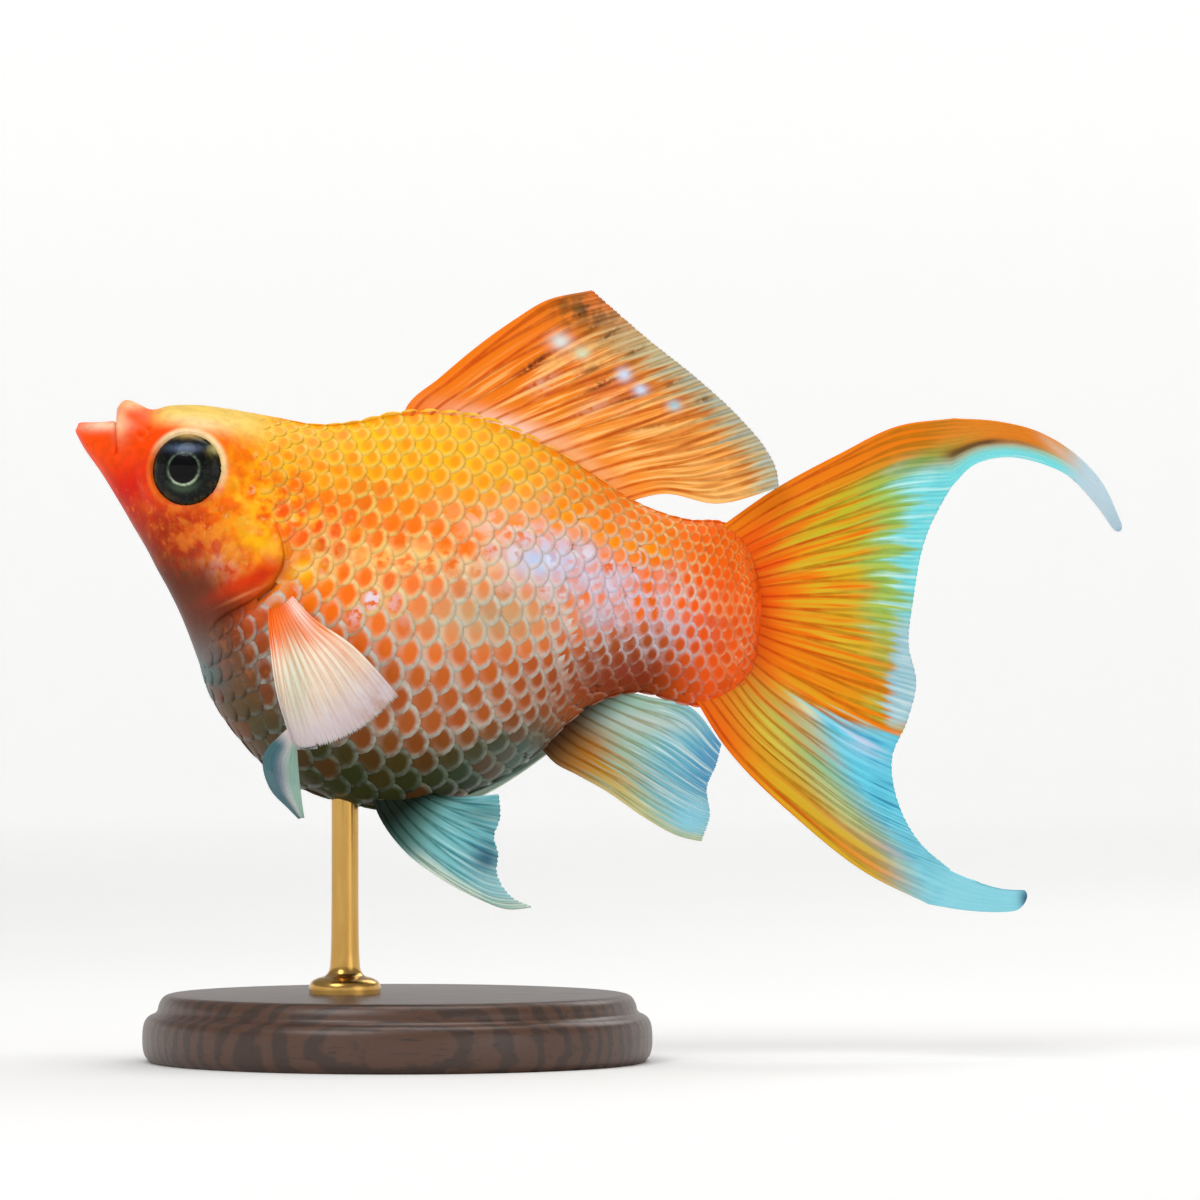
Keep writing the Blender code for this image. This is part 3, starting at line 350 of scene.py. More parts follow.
def body_colours(finish):
    """The markings that the skin and the scales share, with painted shade on the underside and in the
    creases, and painted highlights on the lips and the flank.
    """
    x, z, patch = finish.x, finish.z, finish.patch
    level = finish.field("level")
    patchy = finish.noise(0.45, 3.0)
    fine = finish.noise(1.6, 2.0)
    colour = finish.wash(
        tint(250, 112, 4),
        ((253, 186, 8), level.step(0.30, 0.10)),
        ((244, 128, 6), level.step(0.24, 0.12) * x.step(29.0, 36.0)),
        ((236, 72, 2), patch((18.0, 25.5), (5.5, 3.0)) * patchy.step(0.38, 0.6)),
        ((248, 176, 96), patch((26.5, 24.0), (6.0, 2.4), -0.2) * patchy.step(0.40, 0.6) * 0.7),
        ((254, 204, 110), patch((23.5, 23.4), (6.0, 0.7), -0.05) * fine.step(0.40, 0.56) * 0.8),
        ((248, 108, 20), patch((22.5, 21.3), (6.2, 0.8), -0.05) * 0.7),
        ((240, 214, 190), patch((29.0, 25.3), (3.0, 0.8), -0.3) * fine.step(0.42, 0.56) * 0.7),
        ((214, 176, 182), patch((36.2, 21.6), (7.4, 3.0), -0.5) * patchy.step(0.40, 0.56) * 0.6),
        ((206, 208, 234), patch((33.4, 22.9), (4.2, 1.5), -0.5) * fine.step(0.42, 0.58) * 0.8),
        # A small blue white spot on the flank: a painted glint.
        ((186, 206, 240), patch((31.1, 23.2), (2.2, 1.2))),
        ((188, 164, 120), patch((27.7, 19.6), (5.2, 2.3)) * 0.8),
        ((190, 196, 226), patch((34.9, 19.5), (0.9, 0.7)) * 0.8),
        # Towards the underside the colour darkens: a brown over the lower half, partly the belly's own
        # colour and partly painted shade, then painted shade in dark olive and grey green on the belly's
        # bottom.
        ((180, 92, 36), level.step(0.54, 0.70) * 0.95),
        ((132, 44, 14), patch((37.0, 15.6), (6.6, 2.4), 0.12) * 0.95),
        ((44, 56, 26), level.step(0.74, 0.90) * x.step(33.5, 29.0) * 0.97),
        ((70, 96, 86), patch((29.4, 10.4), (3.8, 1.5), 0.40) * 0.85),
        ((242, 84, 4), x.step(38.0, 42.5) * 0.9),
        ((240, 88, 6), x.step(42.6, 44.2)),
    )
    specks = finish.noise(3.4, 2.0).step(0.60, 0.72)
    blotches, mottle = finish.noise(0.9, 2.0), finish.noise(1.7, 4.0)
    face_colour = finish.wash(
        tint(255, 78, 0),
        ((255, 146, 4), patch((12.4, 28.4), (3.4, 4.4))),
        ((226, 14, 2), patch((3.2, 27.6), (1.9, 3.6), -0.9)),
        ((160, 34, 0), patch((6.3, 25.0), (2.6, 2.2)) * 0.85),
        ((214, 74, 4), patch((9.4, 22.8), (2.6, 2.6))),
        # Dark brown along the underside of the throat: painted shade under the head.
        ((104, 34, 10), patch((5.6, 22.4), (1.3, 4.8), 0.52)),
        ((80, 36, 18), patch((8.0, 19.2), (2.2, 2.0), 0.5)),
        ((240, 202, 96), level.step(0.17, 0.05) * x.step(4.5, 6.5)),
        # Pale peach on the tops of the lips: partly their own colour and partly painted highlight.
        ((247, 196, 140), patch((3.9, 33.9), (1.3, 0.5))),
        ((252, 206, 172), patch((1.9, 32.35), (1.5, 0.36), 0.04)),
        ((252, 200, 150), patch((3.1, 32.6), (0.5, 1.1), 0.1) * 0.75),
        ((250, 196, 150), patch((9.2, 24.9), (2.7, 1.9), -0.3) * specks * 0.55),
        ((176, 26, 0), z.step(28.5, 26.0) * mottle.step(0.52, 0.64) * 0.40),
        ((255, 150, 40), z.step(29.5, 26.0) * mottle.step(0.44, 0.34) * 0.35),
        ((186, 26, 0), patch((8.4, 24.2), (3.6, 3.2)) * blotches.step(0.50, 0.64) * 0.35),
        ((222, 170, 150), patch((9.6, 22.9), (1.6, 1.1), 0.3) * mottle.step(0.62, 0.40) * 0.55),
        ((120, 50, 24), patch((7.2, 22.2), (1.6, 2.2), 0.4) * mottle.step(0.60, 0.40) * 0.8),
        ((238, 104, 30), finish.field("orbit") * 0.8),
        ((255, 222, 170), finish.field("orbit") * (x * 0.55 + z * 0.83).step(27.7, 30.0)),
        ((255, 224, 164), patch((8.3, 32.5), (1.9, 0.45), -0.15) * 0.75),
    )
    colour = finish.mix(colour, face_colour, x.step(14.2, 11.2))
    shoulder = patch((13.6, 26.8), (4.6, 4.6))
    colour = finish.wash(
        colour,
        ((255, 196, 30), shoulder * blotches.step(0.44, 0.64) * 0.70),
        ((238, 66, 0), shoulder * blotches.step(0.52, 0.34) * 0.60),
        ((255, 226, 160), shoulder * mottle.step(0.58, 0.74) * 0.45),
        ((250, 140, 50), patch((8.2, 25.2), (3.2, 2.2), -0.4) * blotches.step(0.46, 0.68) * 0.5),
        ((140, 24, 0), patch((7.4, 24.4), (2.4, 2.6), 0.5) * blotches.step(0.54, 0.34) * 0.6),
    )
    throat = x + z * 0.52
    colour = finish.wash(
        colour,
        # Dark brown on the lowest part of the throat: painted shade under the head.
        ((84, 34, 12), throat.step(23.0, 19.8) * x.step(4.4, 6.2) * z.step(25.0, 21.5) * 0.9),
        ((116, 66, 28), patch((11.4, 15.4), (3.3, 4.4), 0.3)),
        ((176, 92, 40), patch((11.6, 16.6), (2.6, 3.4), 0.3) * fine.step(0.52, 0.66) * 0.6),
        ((84, 110, 112), patch((8.8, 15.7), (1.7, 2.5), 0.28)),
        # Dark brown and dark olive at the lower edge of the chest and belly: painted shade on the
        # underside.
        ((92, 74, 44), patch((12.0, 12.6), (3.4, 2.2), -0.7) * 0.9),
        ((50, 60, 32), patch((15.5, 9.8), (4.6, 2.2), -0.6) * 0.95),
        ((206, 58, 4), patch((12.8, 22.3), (2.6, 0.7), 0.55)),
        ((92, 30, 8), patch((10.2, 20.3), (2.2, 0.8), 0.45) * 0.8),
        ((240, 150, 90), patch((11.6, 21.1), (1.5, 0.12), 0.42) * 0.45),
        ((255, 180, 8), patch((12.7, 24.5), (1.8, 0.85), -0.35)),
        ((255, 190, 16), patch((15.4, 22.7), (1.2, 0.8), 0.2) * 0.9),
        ((214, 44, 0), patch((12.3, 22.2), (2.8, 0.5), 0.42) * 0.7),
    )
    # Painted shade, in dark brown, in the creases of the mouth and behind the gill covers.
    return finish.mix(colour, tint(60, 20, 6), finish.field("crease_shade") * 0.7), fine, patchy


jaw_rows, lip_rows, head_rows, trunk_rows, around = 34, 9, 112, 150, 256
angles = np.arange(around) * 2 * math.pi / around
levels = level_of(angles)
jaw_where, jaw_angle = np.broadcast_arrays(np.linspace(0, 3, jaw_rows)[:, None], angles[None, :])
jaw_rings = hide(JAW_SLICES, jaw_where, jaw_angle)
edge = gill_edge(levels)[None, :]
head_where = edge * np.linspace(0, 1, head_rows)[:, None] ** 1.25
step_where = edge + np.array([0.015, 0.035, 0.06, 0.09, 0.13])[:, None]
trunk_share = np.linspace(0, 1, trunk_rows)[:, None]
trunk_where = (edge + 0.18) * (1 - trunk_share) + LAST_SLICE * trunk_share
body_where = np.concatenate([head_where, step_where, trunk_where])
body_rings = hide(BODY_SLICES, body_where, np.broadcast_to(angles[None, :], body_where.shape))

jaw_level = level_of(jaw_angle)
jaw_roll = np.exp(-(((jaw_level - 0.13) / 0.08) ** 2)) * np.clip(jaw_where * 1.5, 0, 1)
jaw_floor = np.exp(-((jaw_level / 0.05) ** 2)) * np.clip(jaw_where / 3, 0, 1)
jaw_rings = jaw_rings + outward(jaw_rings) * (JAW_ROLL * jaw_roll)[..., None]
jaw_rings[..., 2] += 0.10 * jaw_roll - JAW_FLOOR * jaw_floor

body_level = np.broadcast_to(levels[None, :], body_where.shape)
cover = np.exp(-(((body_level - 0.55) / 0.24) ** 4))
share = np.clip((body_where - 3.4) / (edge - 3.4), 0, 1)
past = np.clip(body_where - edge, 0, None)
cover = cover * smooth_step(0.30, 0.47, body_level)
relief = COVER_RISE * cover * share**3 * (1 - smooth_step(0.0, 0.07, past))
relief -= CHEEK_DIP * np.exp(-(((body_where - 4.5) / 0.28) ** 2)) * cover
relief -= FOLD_DIP * np.exp(-(((past - 0.07) / 0.05) ** 2)) * (past > 0) * cover
reach = np.clip((0.46 - body_level) / 0.14, 0, 1)
lip = np.exp(-(((body_where - 0.45) / 0.42) ** 2)) * reach
relief += LIP_RISE * lip * (0.35 + 0.65 * np.clip(body_level / 0.25, 0, 1))
relief -= COAT_DIP * smooth_step(0.1, 0.5, past)
cell_x = body_rings[..., 0] + 0.35 * np.sin(body_rings[..., 2] * 1.3 + 0.6 * body_rings[..., 0])
cell_z = body_rings[..., 2] + 0.35 * np.sin(body_rings[..., 0] * 1.7 - 0.4 * body_rings[..., 2])
cells = sum(
    np.cos(2 * math.pi / CELL_MM * (cell_x * math.cos(a) + cell_z * math.sin(a)))
    for a in 0.3 + np.arange(3) * math.pi / 3
) / 3
cells = cells * smooth_step(9.8, 11.5, body_rings[..., 0]) * (1 - smooth_step(0.5, 0.62, body_level))
on_nape = smooth_step(-1.3, -0.4, body_where - edge) * (1 - smooth_step(0.24, 0.40, body_level))
cells = cells * (1 - on_nape)
relief += CELL_RISE * cells * (1 - smooth_step(0.0, 0.3, past))
for x, z, radius in NOSTRILS:
    near = (body_rings[..., 0] - x) ** 2 + (body_rings[..., 2] - z) ** 2
    relief -= NOSTRIL_DEPTH * np.exp(-near / radius**2)
    relief += NOSTRIL_RIM * np.exp(-near / (radius * 2.2) ** 2)
body_rings = body_rings + outward(body_rings) * relief[..., None]
orbit = np.zeros(body_where.shape)
for side in (-1, 1):
    centre, _, _ = skin_beside(EYE_X, EYE_Z, side)
    axis = eye_axis(side)
    spare = body_rings - centre
    depth = (spare * axis).sum(axis=2)
    wide = np.linalg.norm(spare - depth[..., None] * axis, axis=2)
    here = np.abs(depth) < 3
    body_rings = body_rings - (here * (1 - smooth_step(2.6, 3.9, wide)) * depth)[..., None] * axis
    ring = np.exp(-(((wide - EYE_RING) / 0.17) ** 2))
    groove = np.exp(-(((wide - EYE_GROOVE) / 0.08) ** 2))
    sunk = 1 - smooth_step(EYE_HOLE, EYE_HOLE + 0.32, wide)
    body_rings = body_rings + (here * (0.15 * ring - 0.07 * groove - 1.2 * sunk))[..., None] * axis
    orbit = np.maximum(orbit, here * (1 - smooth_step(2.62, 2.95, wide)))

lip_share = np.linspace(0, 1, lip_rows + 2)[1:-1, None, None]
inward = smooth_step(0, 1, (MOUTH_CORNER - levels) / 0.10)[None, :, None]
lip_rings = jaw_rings[-1:] * (1 - lip_share) + body_rings[:1] * lip_share
gape = np.sin(np.pi * lip_share) * inward
middle = lip_rings.mean(axis=1, keepdims=True)
lip_rings = lip_rings + gape * (np.array([0.60, 0, 0]) + 0.16 * (middle - lip_rings))
corner = np.exp(-(((levels - MOUTH_CORNER) / 0.07) ** 2))[None, :, None]
lip_rings = lip_rings + 0.06 * np.sin(np.pi * lip_share) * corner * (middle - lip_rings)

rings = np.concatenate([jaw_rings, lip_rings, body_rings])
count = len(rings)
join = jaw_rows + lip_rows // 2
near_join = np.exp(-(((np.arange(count) - join) / 9.0) ** 2))[:, None]
blend = (near_join * smooth_step(MOUTH_CORNER, MOUTH_CORNER + 0.10, levels)[None, :])[..., None]
for _ in range(JOIN_PASSES):
    rings[1:-1] += blend[1:-1] * ((rings[2:] + rings[:-2]) / 2 - rings[1:-1])
front = rings[0].mean(axis=0) - (0.10, 0, 0)
rear = rings[-1].mean(axis=0)
skin_points = np.concatenate([rings.reshape(-1, 3), [front, rear]])
# Where shade is painted: in the mouth's slit and in the crease just behind the gill covers.
crease_shade = np.zeros(rings.shape[:2])
crease_shade[jaw_rows : jaw_rows + lip_rows] = gape[..., 0] * 0.45
crease_shade[jaw_rows + lip_rows :] = np.exp(-(((past - 0.07) / 0.05) ** 2)) * (past > 0) * 0.7 * cover
skin_level = np.broadcast_to(levels[None, :], rings.shape[:2])
orbits = np.concatenate([np.zeros((jaw_rows + lip_rows, around)), orbit])
cell_field = np.concatenate([np.zeros((jaw_rows + lip_rows, around)), cells])

hide_finish = Finish("molly_skin")
colour, fine, patchy = body_colours(hide_finish)
pores, cell = hide_finish.noise(5.0, 3.0), hide_finish.field("cell")
skin_material = hide_finish.wet_with(
    gloss=0.11,
    film=0.16,
    film_roughness=0.12,
    base_color=hide_finish.wash(
        colour,
        ((120, 36, 6), fine.step(0.62, 0.35) * 0.16),
        ((255, 200, 60), cell.step(-0.12, -0.45) * patchy * hide_finish.z.step(24.0, 28.0) * 0.8),
        ((226, 74, 0), cell.step(0.35, 0.8) * patchy.step(0.4, 0.6) * 0.35),
    ),
    roughness=0.30 + 0.16 * fine,
    normal=hide_finish.bump(pores + fine * 0.8, 0.35, 0.05),
)
skin = piece_from(
    "skin",
    skin_points,
    ring_faces(count, around, count * around, count * around + 1),
    {
        "level": [*skin_level.reshape(-1), 0.5, 0.5],
        "crease_shade": [*crease_shade.reshape(-1), 0, 0],
        "orbit": [*orbits.reshape(-1), 0, 0],
        "cell": [*cell_field.reshape(-1), 0, 0],
    },
    skin_material,
)
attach(skin, "root")
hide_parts("head", "lower_jaw", "torso", "tail_stalk")

# The scales: thin horny plates that grow from the skin in staggered rows and lie over one another
# towards the tail, widest on the belly and smallest on the stalk. One plate is placed on each point
# of a lattice by Geometry Nodes, and its rim is pale where its middle is coloured.
ROWS_ON_BELLY, ROW_STRETCH, BACK_CROWDING = 22, 1.08, 0.22
ROWS_ENDING, ROWS_END_AT = 3, (13.5, 15.7)
COAT_START, COAT_END, NAPE_REACH, NAPE_LEVELS = 4.9, 20.35, 1.1, (0.22, 0.42)
SCALE_FRONT, SCALE_REAR, SCALE_SIDE, SCALE_LEAN = 0.78, 0.70, 0.86, 0.06
SCALE_TILT, SCALE_CROWN, SCALE_RISE, SCALE_TUCK, SCALE_THICK = 0.044, 0.020, 0.008, 0.16, 0.055
PATCH_WIDTH = 0.002


def coat_edge(level):
    """The slice of the first plates: just under the gill cover, and further forward on the nape."""
    return gill_edge(level) + 0.02 - NAPE_REACH * (1 - smooth_step(*NAPE_LEVELS, level))


def along_body(where, angle):
    step = 0.05
    low = hide(BODY_SLICES, np.maximum(where - step, 0), angle)
    high = hide(BODY_SLICES, np.minimum(where + step, LAST_SLICE), angle)
    return (high - low) / (2 * step)


def rows_at(where):
    """Rows on one side of the body: three run out where it narrows, and three more on the stalk."""
    return ROWS_ON_BELLY - ROWS_ENDING * sum(np.asarray(where) > end for end in ROWS_END_AT)


def row_angles(where):
    """The angles of one side's rows at a slice, nearer together on the back than on the belly."""
    turn = np.linspace(0, math.pi, 400)
    line = hide(BODY_SLICES, np.full(400, where), turn)
    run = np.concatenate([[0], np.cumsum(np.linalg.norm(np.diff(line, axis=0), axis=1))])
    rows = int(rows_at(where))
    wanted = (np.arange(rows) + 0.5) / rows
    wanted = wanted + BACK_CROWDING * (wanted**2 - wanted)
    return np.interp(wanted * run[-1], run, turn), run[-1]


stations = [COAT_START]
while stations[-1] < COAT_END:
    where = stations[-1]
    turn, half_round = row_angles(where)
    middle = turn[[len(turn) // 3, len(turn) // 2, 3 * len(turn) // 4]]
    per_slice = np.linalg.norm(along_body(np.full(3, where), middle), axis=1).mean()
    stations.append(where + half_round / len(turn) * ROW_STRETCH / per_slice)
stations = np.array(stations)
plates = []
rng = np.random.default_rng(7)
for station, after in zip(stations[:-1], stations[1:]):
    turns = (row_angles(station)[0], row_angles((station + after) / 2)[0])
    for row in range(min(len(turns[0]), len(turns[1]))):
        half = row % 2
        where, angle = station + half * (after - station) / 2, turns[half][row]
        if coat_edge(level_of(angle)) <= where <= COAT_END:
            share = (row + 0.5) / len(turns[half])
            plates += [(where, angle, share), (where, -angle, share)]
plates = np.array(plates)
plate_where, plate_angle = plates[:, 0], plates[:, 1]
plate_spot = hide(BODY_SLICES, plate_where, plate_angle)
plate_along = along_body(plate_where, plate_angle)
turned = 0.02
plate_round = hide(BODY_SLICES, plate_where, plate_angle + turned)
plate_round = plate_round - hide(BODY_SLICES, plate_where, plate_angle - turned)
plate_up = np.cross(plate_along, plate_round)
plate_up /= np.linalg.norm(plate_up, axis=1, keepdims=True)
centre_line = slices_at(BODY_SLICES, plate_where)
centre_line = (centre_line[:, 0:2] + centre_line[:, 2:4]) / 2
inside = np.stack([centre_line[:, 0], np.zeros(len(plates)), centre_line[:, 1]], axis=-1)
plate_up *= np.sign(((plate_spot - inside) * plate_up).sum(axis=1, keepdims=True))
plate_along -= (plate_along * plate_up).sum(axis=1, keepdims=True) * plate_up
slice_length = np.linalg.norm(plate_along, axis=1, keepdims=True)
plate_along /= slice_length
pitch_along = slice_length[:, 0] * np.interp(plate_where, stations[:-1], np.diff(stations))
half_rounds = np.array([row_angles(w)[1] for w in stations])
pitch_round = np.interp(plate_where, stations, half_rounds) / rows_at(plate_where)
pitch_round = pitch_round * (0.78 + 0.44 * plates[:, 2])


def bend_over(along, round_it):
    """How far the skin falls away from a plate's middle, one plate to either side."""
    low = hide(BODY_SLICES, np.maximum(plate_where - along, 0), plate_angle - round_it)
    high = hide(BODY_SLICES, np.minimum(plate_where + along, LAST_SLICE), plate_angle + round_it)
    return 0.5 * ((low + high - 2 * plate_spot) * plate_up).sum(axis=1)


bend_along = bend_over(pitch_along / slice_length[:, 0], 0)
bend_round = bend_over(0, pitch_round / (np.linalg.norm(plate_round, axis=1) / (2 * turned)))
plate_bend = np.stack([bend_along, bend_round, np.zeros(len(plates))], axis=-1)
plate_bend = np.clip(plate_bend, -0.35, 0.32)
# The first plates rise out of the skin of the nape, and the last ones run under it at the tail.
plate_level = level_of(plate_angle)
fade_in = 0.30 + 1.7 * (1 - smooth_step(*NAPE_LEVELS, plate_level))
risen = smooth_step(0, 1, (plate_where - coat_edge(plate_level)) / fade_in + 0.05)
risen = np.minimum(risen, smooth_step(COAT_END, COAT_END - 1.0, plate_where))
plate_spot = plate_spot - plate_up * ((1 - risen) * SCALE_THICK * pitch_round)[:, None]
plate_aft = plate_along + np.cross(plate_up, plate_along) * rng.normal(0, SCALE_LEAN, (len(plates), 1))
plate_size = np.stack([pitch_along, pitch_round, np.minimum(pitch_along, pitch_round)], axis=-1)
round_share = (plate_angle / (2 * math.pi)) % 1.0
plate_fields = {
    "aft": plate_aft,
    "up": plate_up,
    "size": plate_size * 0.001,
    "bend": plate_bend * 0.001,
    "root": np.stack([plate_where / LAST_SLICE, round_share, 0 * plate_where], axis=-1),
    "level": plate_level,
    "tone": rng.random(len(plates)),
    "risen": risen,
}
lattice = bpy.data.meshes.new("scale_lattice")
lattice.from_pydata(in_place(plate_spot).tolist(), [], [])
give_fields(lattice, plate_fields)
scales = linked("scales", lattice)

spokes, rounds = 14, 2
turn = np.arange(spokes) * 2 * math.pi / spokes
reach = np.where(np.cos(turn) > 0, SCALE_REAR, SCALE_FRONT)
rim = np.repeat((0.0, 0.62, 1.0), (1, spokes, spokes))
flat = np.stack([reach * np.cos(turn), SCALE_SIDE * np.sin(turn)], axis=-1)
flat = rim[:, None] * np.concatenate([[(0.0, 0.0)], flat, flat])
height = SCALE_TILT * flat[:, 0] + SCALE_CROWN * (1 - rim**2) + SCALE_RISE
height -= SCALE_TUCK * np.clip(-0.42 - flat[:, 0], 0, 1)
top = np.column_stack([flat, height])
foot = np.column_stack([flat[-spokes:] * 0.96, height[-spokes:] - SCALE_THICK])
base_centre = np.array([[0, 0, -0.05]])
plate_points = np.concatenate([top, foot, base_centre])
plate_rim = np.concatenate([rim, np.ones(spokes), [0.0]])
plate_faces = [(0, 1 + s, 1 + (s + 1) % spokes) for s in range(spokes)]
for ring in range(rounds):
    start, after = 1 + ring * spokes, 1 + (ring + 1) * spokes
    for s in range(spokes):
        k = (s + 1) % spokes
        plate_faces.append((start + s, after + s, after + k, start + k))
base = len(plate_points) - 1
plate_faces += [(base, len(top) + (s + 1) % spokes, len(top) + s) for s in range(spokes)]
plate_mesh = bpy.data.meshes.new("scale_plate")
plate_mesh.from_pydata(plate_points.tolist(), [], plate_faces)
give_fields(plate_mesh, {"rim": plate_rim, "lie": plate_points})
plate_mesh.shade_smooth()
plate = bpy.data.objects.new("scale_plate", plate_mesh)

scale_finish = Finish("molly_scales")
colour, fine, patchy = body_colours(scale_finish)
rim_wire = scale_finish.field("rim")
tone, risen_wire = scale_finish.field("tone"), scale_finish.field("risen")
level, x, patch = scale_finish.field("level"), scale_finish.x, scale_finish.patch
lie = scale_finish.node("ShaderNodeAttribute", {"attribute_name": "lie"}, {}, "Vector")
lie_aft, lie_across = (scale_finish.node("ShaderNodeSeparateXYZ", {}, {0: lie}, axis) for axis in (0, 1))
aft_share, side_share = (lie_aft - 0.24) * 2.5, lie_across * 1.75
oval = (-(aft_share * aft_share + side_share * side_share)).exp()
rim_colour = scale_finish.wash(
    tint(255, 220, 104),
    ((253, 208, 126), level.step(0.24, 0.42)),
    ((206, 204, 190), level.step(0.46, 0.60)),
    ((226, 214, 236), patch((35.2, 21.6), (8.4, 4.0), -0.4)),
    ((206, 204, 184), patch((27.7, 19.6), (5.6, 3.0))),
    ((190, 110, 72), patch((37.0, 15.2), (6.0, 1.8), 0.12) * 0.9),
    ((126, 142, 124), level.step(0.76, 0.92) * x.step(33.5, 29.0)),
    ((126, 140, 142), patch((9.4, 15.8), (2.6, 4.6), 0.35)),
    ((255, 140, 60), x.step(40.5, 43.5) * 0.8),
)
broken = scale_finish.noise(1.5, 2.0).step(0.34, 0.60)
flank_share = level.step(0.16, 0.50)
thin_edge = rim_wire - 0.09 * level.step(0.42, 0.56)
edge_share = thin_edge.step(0.50, 0.88) * (0.50 + 0.35 * flank_share + 0.25 * tone)
edge_share = edge_share * (0.30 + 0.80 * broken) * (1 - patch((14.8, 27.0), (3.2, 3.6)) * 0.6)
edge_share = edge_share * lie_aft.step(-0.40, -0.12) * x.step(9.5, 13.5) * risen_wire
# The pale rims and pale middles fade out on the underside, so that the painted shade there stays dark.
edge_share = edge_share * (1 - level.step(0.74, 0.94) * 0.55)
ground_share = (0.16 + 0.40 * level.step(0.22, 0.40) - 0.04 * level.step(0.48, 0.62)) * x.step(10.5, 15.0)
ground_share = ground_share * (0.55 + 0.45 * patchy.step(0.35, 0.6)) * (0.7 + 0.3 * tone)
ground_share = ground_share * oval.step(0.80, 0.18) * level.step(0.92, 0.76) * risen_wire
centre = scale_finish.wash(
    colour,
    ((150, 46, 2), tone.step(0.55, 1.0) * 0.22),
    ((244, 112, 6), oval.step(0.35, 0.85) * level.step(0.30, 0.12) * risen_wire * 0.45),
)
pale = scale_finish.noise(0.40, 3.0).step(0.42, 0.58) * level.step(0.20, 0.34)
centre = scale_finish.mix(centre, rim_colour, ground_share * (0.30 + 1.10 * pale))
glint_places = patch((19.0, 20.9), (3.4, 1.5)) + patch((33.0, 22.8), (5.6, 2.6), -0.4)
glint = tone.step(0.74, 0.86) * glint_places.clamp() * fine.step(0.40, 0.56)
centre = scale_finish.mix(centre, tint(232, 236, 252), glint * oval.step(0.15, 0.75) * risen_wire * 0.8)
rings = (rim_wire * 44.0).sin()
scale_material = scale_finish.wet_with(
    gloss=0.11,
    film=0.16,
    film_roughness=0.14,
    base_color=scale_finish.mix(centre, rim_colour, edge_share),
    roughness=0.28 + 0.14 * fine,
    normal=scale_finish.bump(fine + scale_finish.noise(6.0, 2.0) * 0.5 + rings * 0.25, 0.30, 0.03),
)

tree = bpy.data.node_groups.new("lay_scales", "GeometryNodeTree")
for name, kind in (("Geometry", "Geometry"), ("Plate", "Object"), ("Patch width", "Float")):
    tree.interface.new_socket(name, in_out="INPUT", socket_type="NodeSocket" + kind)
tree.interface.new_socket("Geometry", in_out="OUTPUT", socket_type="NodeSocketGeometry")
nodes = Nodes(tree)
points, plate_given, patch_width = (nodes.node("NodeGroupInput", {}, {}, place) for place in range(3))
aft, up, size, root, lie, bend = (
    nodes.node("GeometryNodeInputNamedAttribute", {"data_type": "FLOAT_VECTOR"}, {"Name": name})
    for name in ("aft", "up", "size", "root", "lie", "bend")
)
upright = nodes.node("FunctionNodeAlignRotationToVector", {"axis": "Z"}, {"Vector": up})
settings = {"axis": "X", "pivot_axis": "Z"}
turned = nodes.node("FunctionNodeAlignRotationToVector", settings, {"Rotation": upright, "Vector": aft})
shape = nodes.node("GeometryNodeObjectInfo", {}, {"Object": plate_given}, "Geometry")
inputs = {"Points": points, "Instance": shape, "Rotation": turned, "Scale": size}
laid = nodes.node("GeometryNodeInstanceOnPoints", {}, inputs)
real = nodes.node("GeometryNodeRealizeInstances", {}, {"Geometry": laid})
squared = nodes.node("ShaderNodeVectorMath", {"operation": "MULTIPLY"}, {0: lie, 1: lie})
fall = nodes.node("ShaderNodeVectorMath", {"operation": "DOT_PRODUCT"}, {0: squared, 1: bend}, "Value")
drop = nodes.node("ShaderNodeVectorMath", {"operation": "SCALE"}, {0: up, "Scale": fall})
bent = nodes.node("GeometryNodeSetPosition", {}, {"Geometry": real, "Offset": drop})
spread = nodes.node("ShaderNodeVectorMath", {"operation": "SCALE"}, {0: lie, "Scale": patch_width})
unwrapped = nodes.node("ShaderNodeVectorMath", {"operation": "ADD"}, {0: root, 1: spread})
settings = {"data_type": "FLOAT2", "domain": "CORNER"}
inputs = {"Geometry": bent, "Name": "OFBake", "Value": unwrapped}
mapped = nodes.node("GeometryNodeStoreNamedAttribute", settings, inputs)
finished = nodes.node("GeometryNodeSetMaterial", {}, {"Geometry": mapped, "Material": scale_material})
nodes.feed(tree.nodes.new("NodeGroupOutput").inputs[0], finished)
laying = scales.modifiers.new("lay_scales", "NODES")
laying.node_group = tree
sockets = {item.name: item.identifier for item in tree.interface.items_tree if item.in_out == "INPUT"}
laying[sockets["Plate"]] = plate
laying[sockets["Patch width"]] = PATCH_WIDTH
graph = bpy.context.evaluated_depsgraph_get()
laid_mesh = bpy.data.meshes.new_from_object(scales.evaluated_get(graph))
scales.modifiers.clear()
scales.data = laid_mesh
scales.data.name = "scales"
scales.data.shade_smooth()
bpy.data.objects.remove(plate)
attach(scales, "root")

